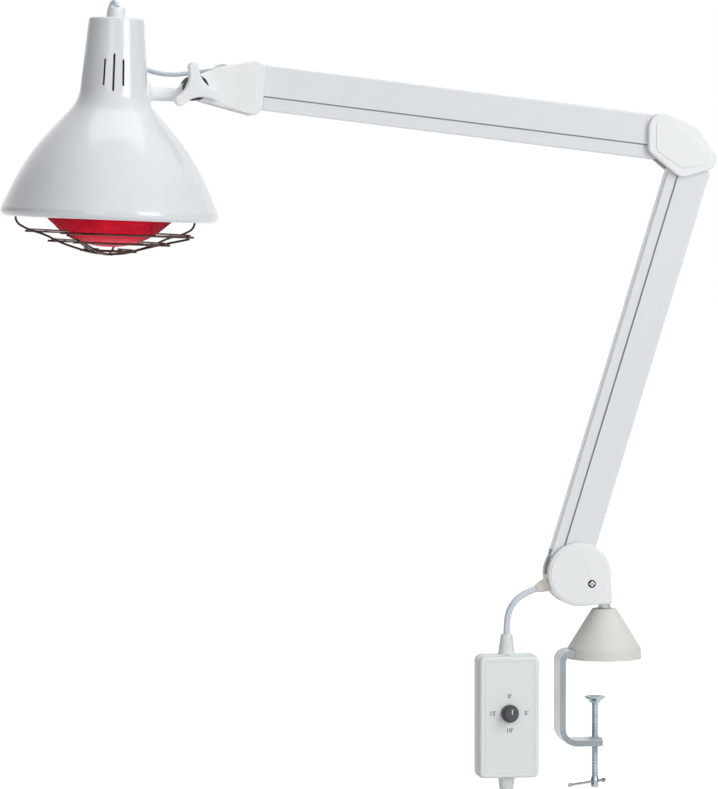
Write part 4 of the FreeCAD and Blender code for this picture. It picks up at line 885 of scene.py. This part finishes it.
class HEAT_LAMP_OT_mains_cord(Operator):
    """Cord from the arm to the timer box, and on to the plug with its put-away coil"""
    bl_idname = "heat_lamp.mains_cord"
    bl_label = "Mains cord"

    def execute(self, context):
        sizes, colours = context.scene.lamp_sizes, context.scene.lamp_colours
        sheath = cord_sheath("mains cord sheath", colours.cable)
        upper = nurbs("timer_cord", TIMER_ROUTE, sizes.mains_cord, sheath)
        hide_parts("timer_lead")
        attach(upper, "turret")
        lower = nurbs("mains_cord", mains_route(sizes.coil_pitch), sizes.mains_cord, sheath)
        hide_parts("mains_lead", "mains_coil")
        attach(lower, "turret")
        return {"FINISHED"}


class HEAT_LAMP_OT_timer_lid(Operator):
    """Timer lid with a rounded edge, a raised bead and a sunk face"""
    bl_idname = "heat_lamp.timer_lid"
    bl_label = "Timer lid"

    def execute(self, context):
        low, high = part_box("timer_lid")
        middle, half = (low + high) / 2, (high - low) / 2
        edge, corner, wall, hole = 0.0022, 0.0057, 0.0022, 0.0036
        front, split = low.y, high.y
        face = front + SUNK_FACE
        inner = edge + context.scene.lamp_sizes.bead

        def outline(inset, y):
            r = max(corner - inset, 0.0003)
            arcs = [[Vector((middle.x + sx * (half.x - inset - r) + r * math.cos(t), y,
                             middle.z + sz * (half.z - inset - r) + r * math.sin(t)))
                     for t in (math.radians(90 * k + 11.25 * i) for i in range(9))]
                    for k, (sx, sz) in enumerate(((1, 1), (-1, 1), (-1, -1), (1, -1)))]
            points = []
            for k, arc in enumerate(arcs):
                parts = 4 if k % 2 == 0 else 8
                points += arc + [arc[-1].lerp(arcs[(k + 1) % 4][0], i / parts) for i in range(1, parts)]
            return points

        def round_hole(y):
            turns = [math.atan2(p.z - DIAL[2], p.x - DIAL[0]) for p in outline(edge, y)]
            return [Vector((DIAL[0] + hole * math.cos(t), y, DIAL[2] + hole * math.sin(t))) for t in turns]

        steps = [(0.0, split), (0.0, front + edge + 0.001)]
        steps += [(edge * (1 - math.cos(t)), front + edge * (1 - math.sin(t)))
                  for t in (math.radians(15 * i) for i in range(7))]
        steps += [(edge + 0.0003, front), (inner - 0.0003, front), (inner, front + 0.00006),
                  (inner + 0.00012, front + 0.0005), (inner + 0.0006, front + 0.0005), (inner + 0.0007, face),
                  (inner + 0.0011, face)]
        rings = [outline(*step) for step in steps]
        rings += [round_hole(face), round_hole(front + wall), outline(wall, front + wall), outline(wall, split)]
        count = len(rings[0])
        faces = [(a * count + i, a * count + (i + 1) % count, b * count + (i + 1) % count, b * count + i)
                 for a, b in ((k, (k + 1) % len(rings)) for k in range(len(rings))) for i in range(count)]
        piece = mesh_object("beaded_lid", [p for ring in rings for p in ring], faces, material_of("timer_lid"))
        cleaned(piece)
        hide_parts("timer_lid")
        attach(piece, "turret")
        return {"FINISHED"}


class HEAT_LAMP_OT_dial_cap(Operator):
    """Cap of the timer's knob, with its pointer line"""
    bl_idname = "heat_lamp.dial_cap"
    bl_label = "Dial cap"

    def execute(self, context):
        colours = context.scene.lamp_colours
        cap = moulded("slate cap plastic", colours.dial, 0.40, grain=0.18, grain_size=1500.0, drift=0.9,
                      dust=0.05)
        line = moulded("white line paint", colours.mark, 0.45, grain=0.1, drift=0.95, dust=0.0)
        place = Matrix.Translation((DIAL[0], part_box("timer_knob")[0].y, DIAL[2]))
        place = place @ Matrix.Rotation(math.pi / 2, 4, "X")
        radius, rise = 0.0058, 0.0004
        points, faces = turned([(0, -0.0003), (radius, -0.0003), (radius, rise - 0.00015),
                                (radius - 0.0002, rise), (radius - 0.0006, rise), (0, rise)])
        piece = mesh_object("dial_cap", [place @ p for p in points], faces, cap.material)
        # The line: half its width, and where it starts and ends from the cap's middle.
        half, start, reach = 0.00042, 0.0006, 0.0054
        ends = [(half * math.cos(math.radians(t)), y + half * math.sin(math.radians(t)))
                for y, first in ((reach - half, 0), (start + half, 180)) for t in range(first, first + 181, 20)]
        work = bmesh.new()
        work.from_mesh(piece.data)
        rims = [[work.verts.new(place @ Vector((x, y, z))) for x, y in ends]
                for z in (rise - 0.0001, rise + 0.00008)]
        count = len(ends)
        new = [work.faces.new(rims[1]), work.faces.new(rims[0][::-1])]
        new += [work.faces.new((rims[0][i], rims[0][(i + 1) % count], rims[1][(i + 1) % count], rims[1][i]))
                for i in range(count)]
        for face in new:
            face.material_index = 1
        work.to_mesh(piece.data)
        work.free()
        piece.data.materials.append(line.material)
        cleaned(piece)
        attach(piece, "dial")
        return {"FINISHED"}


class HEAT_LAMP_OT_dial_marks(Operator):
    """Figures round the timer's dial"""
    bl_idname = "heat_lamp.dial_marks"
    bl_label = "Dial figures"

    def execute(self, context):
        sizes = context.scene.lamp_sizes
        merged = bmesh.new()
        for text, turn in (("0'", 90), ("5'", 0), ("10'", -90), ("15'", 180)):
            font = bpy.data.curves.new("figure", "FONT")
            font.body = text
            font.size = sizes.digit * 1.38
            font.align_x, font.align_y = "CENTER", "CENTER"
            font.extrude = 0.00004
            font.offset = 0.00006
            font.resolution_u = 4
            label = new_piece("figure", font)
            context.view_layer.update()
            label = baked(label)
            a, ring = math.radians(turn), sizes.digit_ring
            place = Matrix.Translation((DIAL[0] + ring * math.cos(a), DIAL[1] + SUNK_FACE - 0.00003,
                                        DIAL[2] + ring * math.sin(a)))
            label.data.transform(place @ Matrix.Rotation(math.pi / 2, 4, "X"))
            merged.from_mesh(label.data)
            bpy.data.batch_remove([label, label.data])
        bmesh.ops.remove_doubles(merged, verts=merged.verts, dist=WELD)
        mesh = bpy.data.meshes.new("dial_figures")
        merged.to_mesh(mesh)
        merged.free()
        mesh.materials.append(moulded("black dial ink", hue("17191b"), 0.55, grain=0.1, drift=0.85,
                                      dust=0.0).material)
        piece = new_piece("dial_figures", mesh)
        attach(piece, "turret")
        return {"FINISHED"}


class HEAT_LAMP_OT_screws(Operator):
    """Cross-recessed screws of the joint cover and the timer box"""
    bl_idname = "heat_lamp.screws"
    bl_label = "Screws"

    def execute(self, context):
        tree = screw_tree()
        low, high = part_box("timer_screws")
        head, seat = 0.0027, 0.0114
        corners = [(x, seat, z) for x in (low.x + head, high.x - head) for z in (low.z + head, high.z - head)]
        a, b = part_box("cover_screw")
        middle, rise = (a + b) / 2, 0.0026
        # Name, node, places, side, slot, turn, and head radius and height with shank radius and length.
        rows = (("box_screws", "timer_screws", corners, -1, "zinc_steel", 0.5, (head, 0.0020, 0.0014, 0.0222)),
                ("disc_screw", "cover_screw", [(middle.x, a.y + rise, middle.z)], 1, "chrome", 0.85,
                 (0.0040, rise, 0.0020, b.y - a.y - rise)))
        for name, node, places, side, slot, turn, shape in rows:
            spin = Matrix.Rotation(math.pi / 2 * side, 4, "X")
            values = dict(zip(("Head Radius", "Head Height", "Shank Radius", "Shank Length"), shape))
            values.update({"Recess": context.scene.lamp_sizes.recess, "Turn": turn,
                           "Material": material_of(node)})
            piece = grown(name, tree, [spin.inverted() @ Vector(p) for p in places], values)
            piece.data.transform(spin)
            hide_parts(node)
            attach(piece, "turret")
        return {"FINISHED"}


class HEAT_LAMP_OT_spindle(Operator):
    """Clamp spindle with its thread, and the hole for the sliding bar"""
    bl_idname = "heat_lamp.spindle"
    bl_label = "Clamp spindle"

    def execute(self, context):
        sizes = context.scene.lamp_sizes
        material = material_of("clamp_spindle")
        low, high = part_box("clamp_spindle")
        radius, head, chamfer = 0.0033, 0.0040, 0.0008
        shoulder = low.z + 0.010
        first, last = shoulder + 0.0012, high.z - 0.0016      # of the thread
        around, rows = 32, 8                                  # steps in a turn, and in a pitch
        count = int((last - first) / sizes.thread_pitch * rows)
        levels = [first + (last - first) * i / count for i in range(count + 1)]
        foot = [(0, low.z), (head - chamfer, low.z), (head, low.z + chamfer), (head, shoulder - chamfer),
                (radius, shoulder), (radius, first - 0.0002)]
        top = [(radius, last + 0.0002), (radius, high.z - 0.0005), (radius - 0.0005, high.z), (0, high.z)]
        points, faces = turned(foot + [(radius, z) for z in levels] + top, around)
        start = 1 + around * (len(foot) - 1)
        for i, z in enumerate(levels):
            fade = min(1.0, (z - first) / 0.001, (last - z) / 0.001)
            for j in range(around):
                phase = (z / sizes.thread_pitch - j / around) % 1.0
                depth = sizes.thread_depth * fade * (1 - abs(2 * phase - 1))
                p = points[start + i * around + j]
                scale = (radius - depth) / radius
                p.x, p.y = p.x * scale, p.y * scale
        for p in points:
            p.x += SPINDLE_X
        piece = mesh_object("threaded_spindle", points, faces, material)
        bar_low, bar_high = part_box("tommy_bar")
        hole, half = 0.00155, 0.012
        points, faces = turned([(0, -half), (hole, -half), (hole, half), (0, half)], 24)
        spin = Matrix.Translation((SPINDLE_X, 0, ((bar_low + bar_high) / 2).z))
        spin = spin @ Matrix.Rotation(HANDLE_TURN, 4, "Z") @ Matrix.Rotation(math.pi / 2, 4, "Y")
        tool = mesh_object("drill", [spin @ p for p in points], faces, material)
        cut = piece.modifiers.new("hole", "BOOLEAN")
        cut.operation, cut.object, cut.solver = "DIFFERENCE", tool, "EXACT"
        piece = baked(piece)
        bpy.data.batch_remove([tool, tool.data])
        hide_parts("clamp_spindle")
        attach(piece, "spindle")
        return {"FINISHED"}


class HEAT_LAMP_OT_springs(Operator):
    """Close-wound balance springs inside both arms"""
    bl_idname = "heat_lamp.springs"
    bl_label = "Balance springs"

    def execute(self, context):
        sizes = context.scene.lamp_sizes
        tree = spring_tree()
        for arm, pivot, way, across in arm_lines():
            node = arm + "_spring"
            piece = grown(arm + "_coil_spring", tree, [(0, 0, 0)], {
                "Length": SPRING_LONG, "Turns": float(sizes.spring_turns), "Wire": sizes.spring_wire,
                "Mean Radius": SPRING_RADIUS - sizes.spring_wire / 2, "Plate Thickness": 0.0024,
                "Near Plate": 0.0022, "Far Plate": 0.0055, "Material": material_of(node)})
            start = pivot + way * SPRING_START + across * SPRING_RISE
            side = Vector((0, 1, 0)).cross(way)
            turn = Matrix((side, (0, 1, 0), way)).transposed().to_4x4()
            piece.data.transform(Matrix.Translation(start) @ turn)
            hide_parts(node)
            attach(piece, arm + "_outer")
        return {"FINISHED"}


class HEAT_LAMP_PT_panel(Panel):
    """Sizes, colours and steps of the heat lamp"""
    bl_idname = "HEAT_LAMP_PT_panel"
    bl_label = "Heat Lamp"
    bl_space_type = "VIEW_3D"
    bl_region_type = "UI"
    bl_category = "Heat Lamp"

    def draw(self, context):
        for group in (context.scene.lamp_colours, context.scene.lamp_sizes):
            box = self.layout.box()
            for name in group.__annotations__:
                box.prop(group, name)
        for step in STEPS:
            self.layout.operator(step.bl_idname)


STEPS = (HEAT_LAMP_OT_stage, HEAT_LAMP_OT_finishes, HEAT_LAMP_OT_head_cord, HEAT_LAMP_OT_mains_cord,
         HEAT_LAMP_OT_timer_lid, HEAT_LAMP_OT_dial_cap, HEAT_LAMP_OT_dial_marks, HEAT_LAMP_OT_screws,
         HEAT_LAMP_OT_spindle, HEAT_LAMP_OT_springs)
CLASSES = (LampColours, LampSizes) + STEPS + (HEAT_LAMP_PT_panel,)


def register():
    for item in CLASSES:
        bpy.utils.register_class(item)
    bpy.types.Scene.lamp_colours = PointerProperty(type=LampColours)
    bpy.types.Scene.lamp_sizes = PointerProperty(type=LampSizes)


def unregister():
    del bpy.types.Scene.lamp_sizes
    del bpy.types.Scene.lamp_colours
    for item in reversed(CLASSES):
        bpy.utils.unregister_class(item)


def main():
    register()
    for step in STEPS:
        group, name = step.bl_idname.split(".")
        if getattr(getattr(bpy.ops, group), name)() != {"FINISHED"}:
            raise RuntimeError(step.bl_label + " could not finish")


if __name__ == "__main__":
    main()
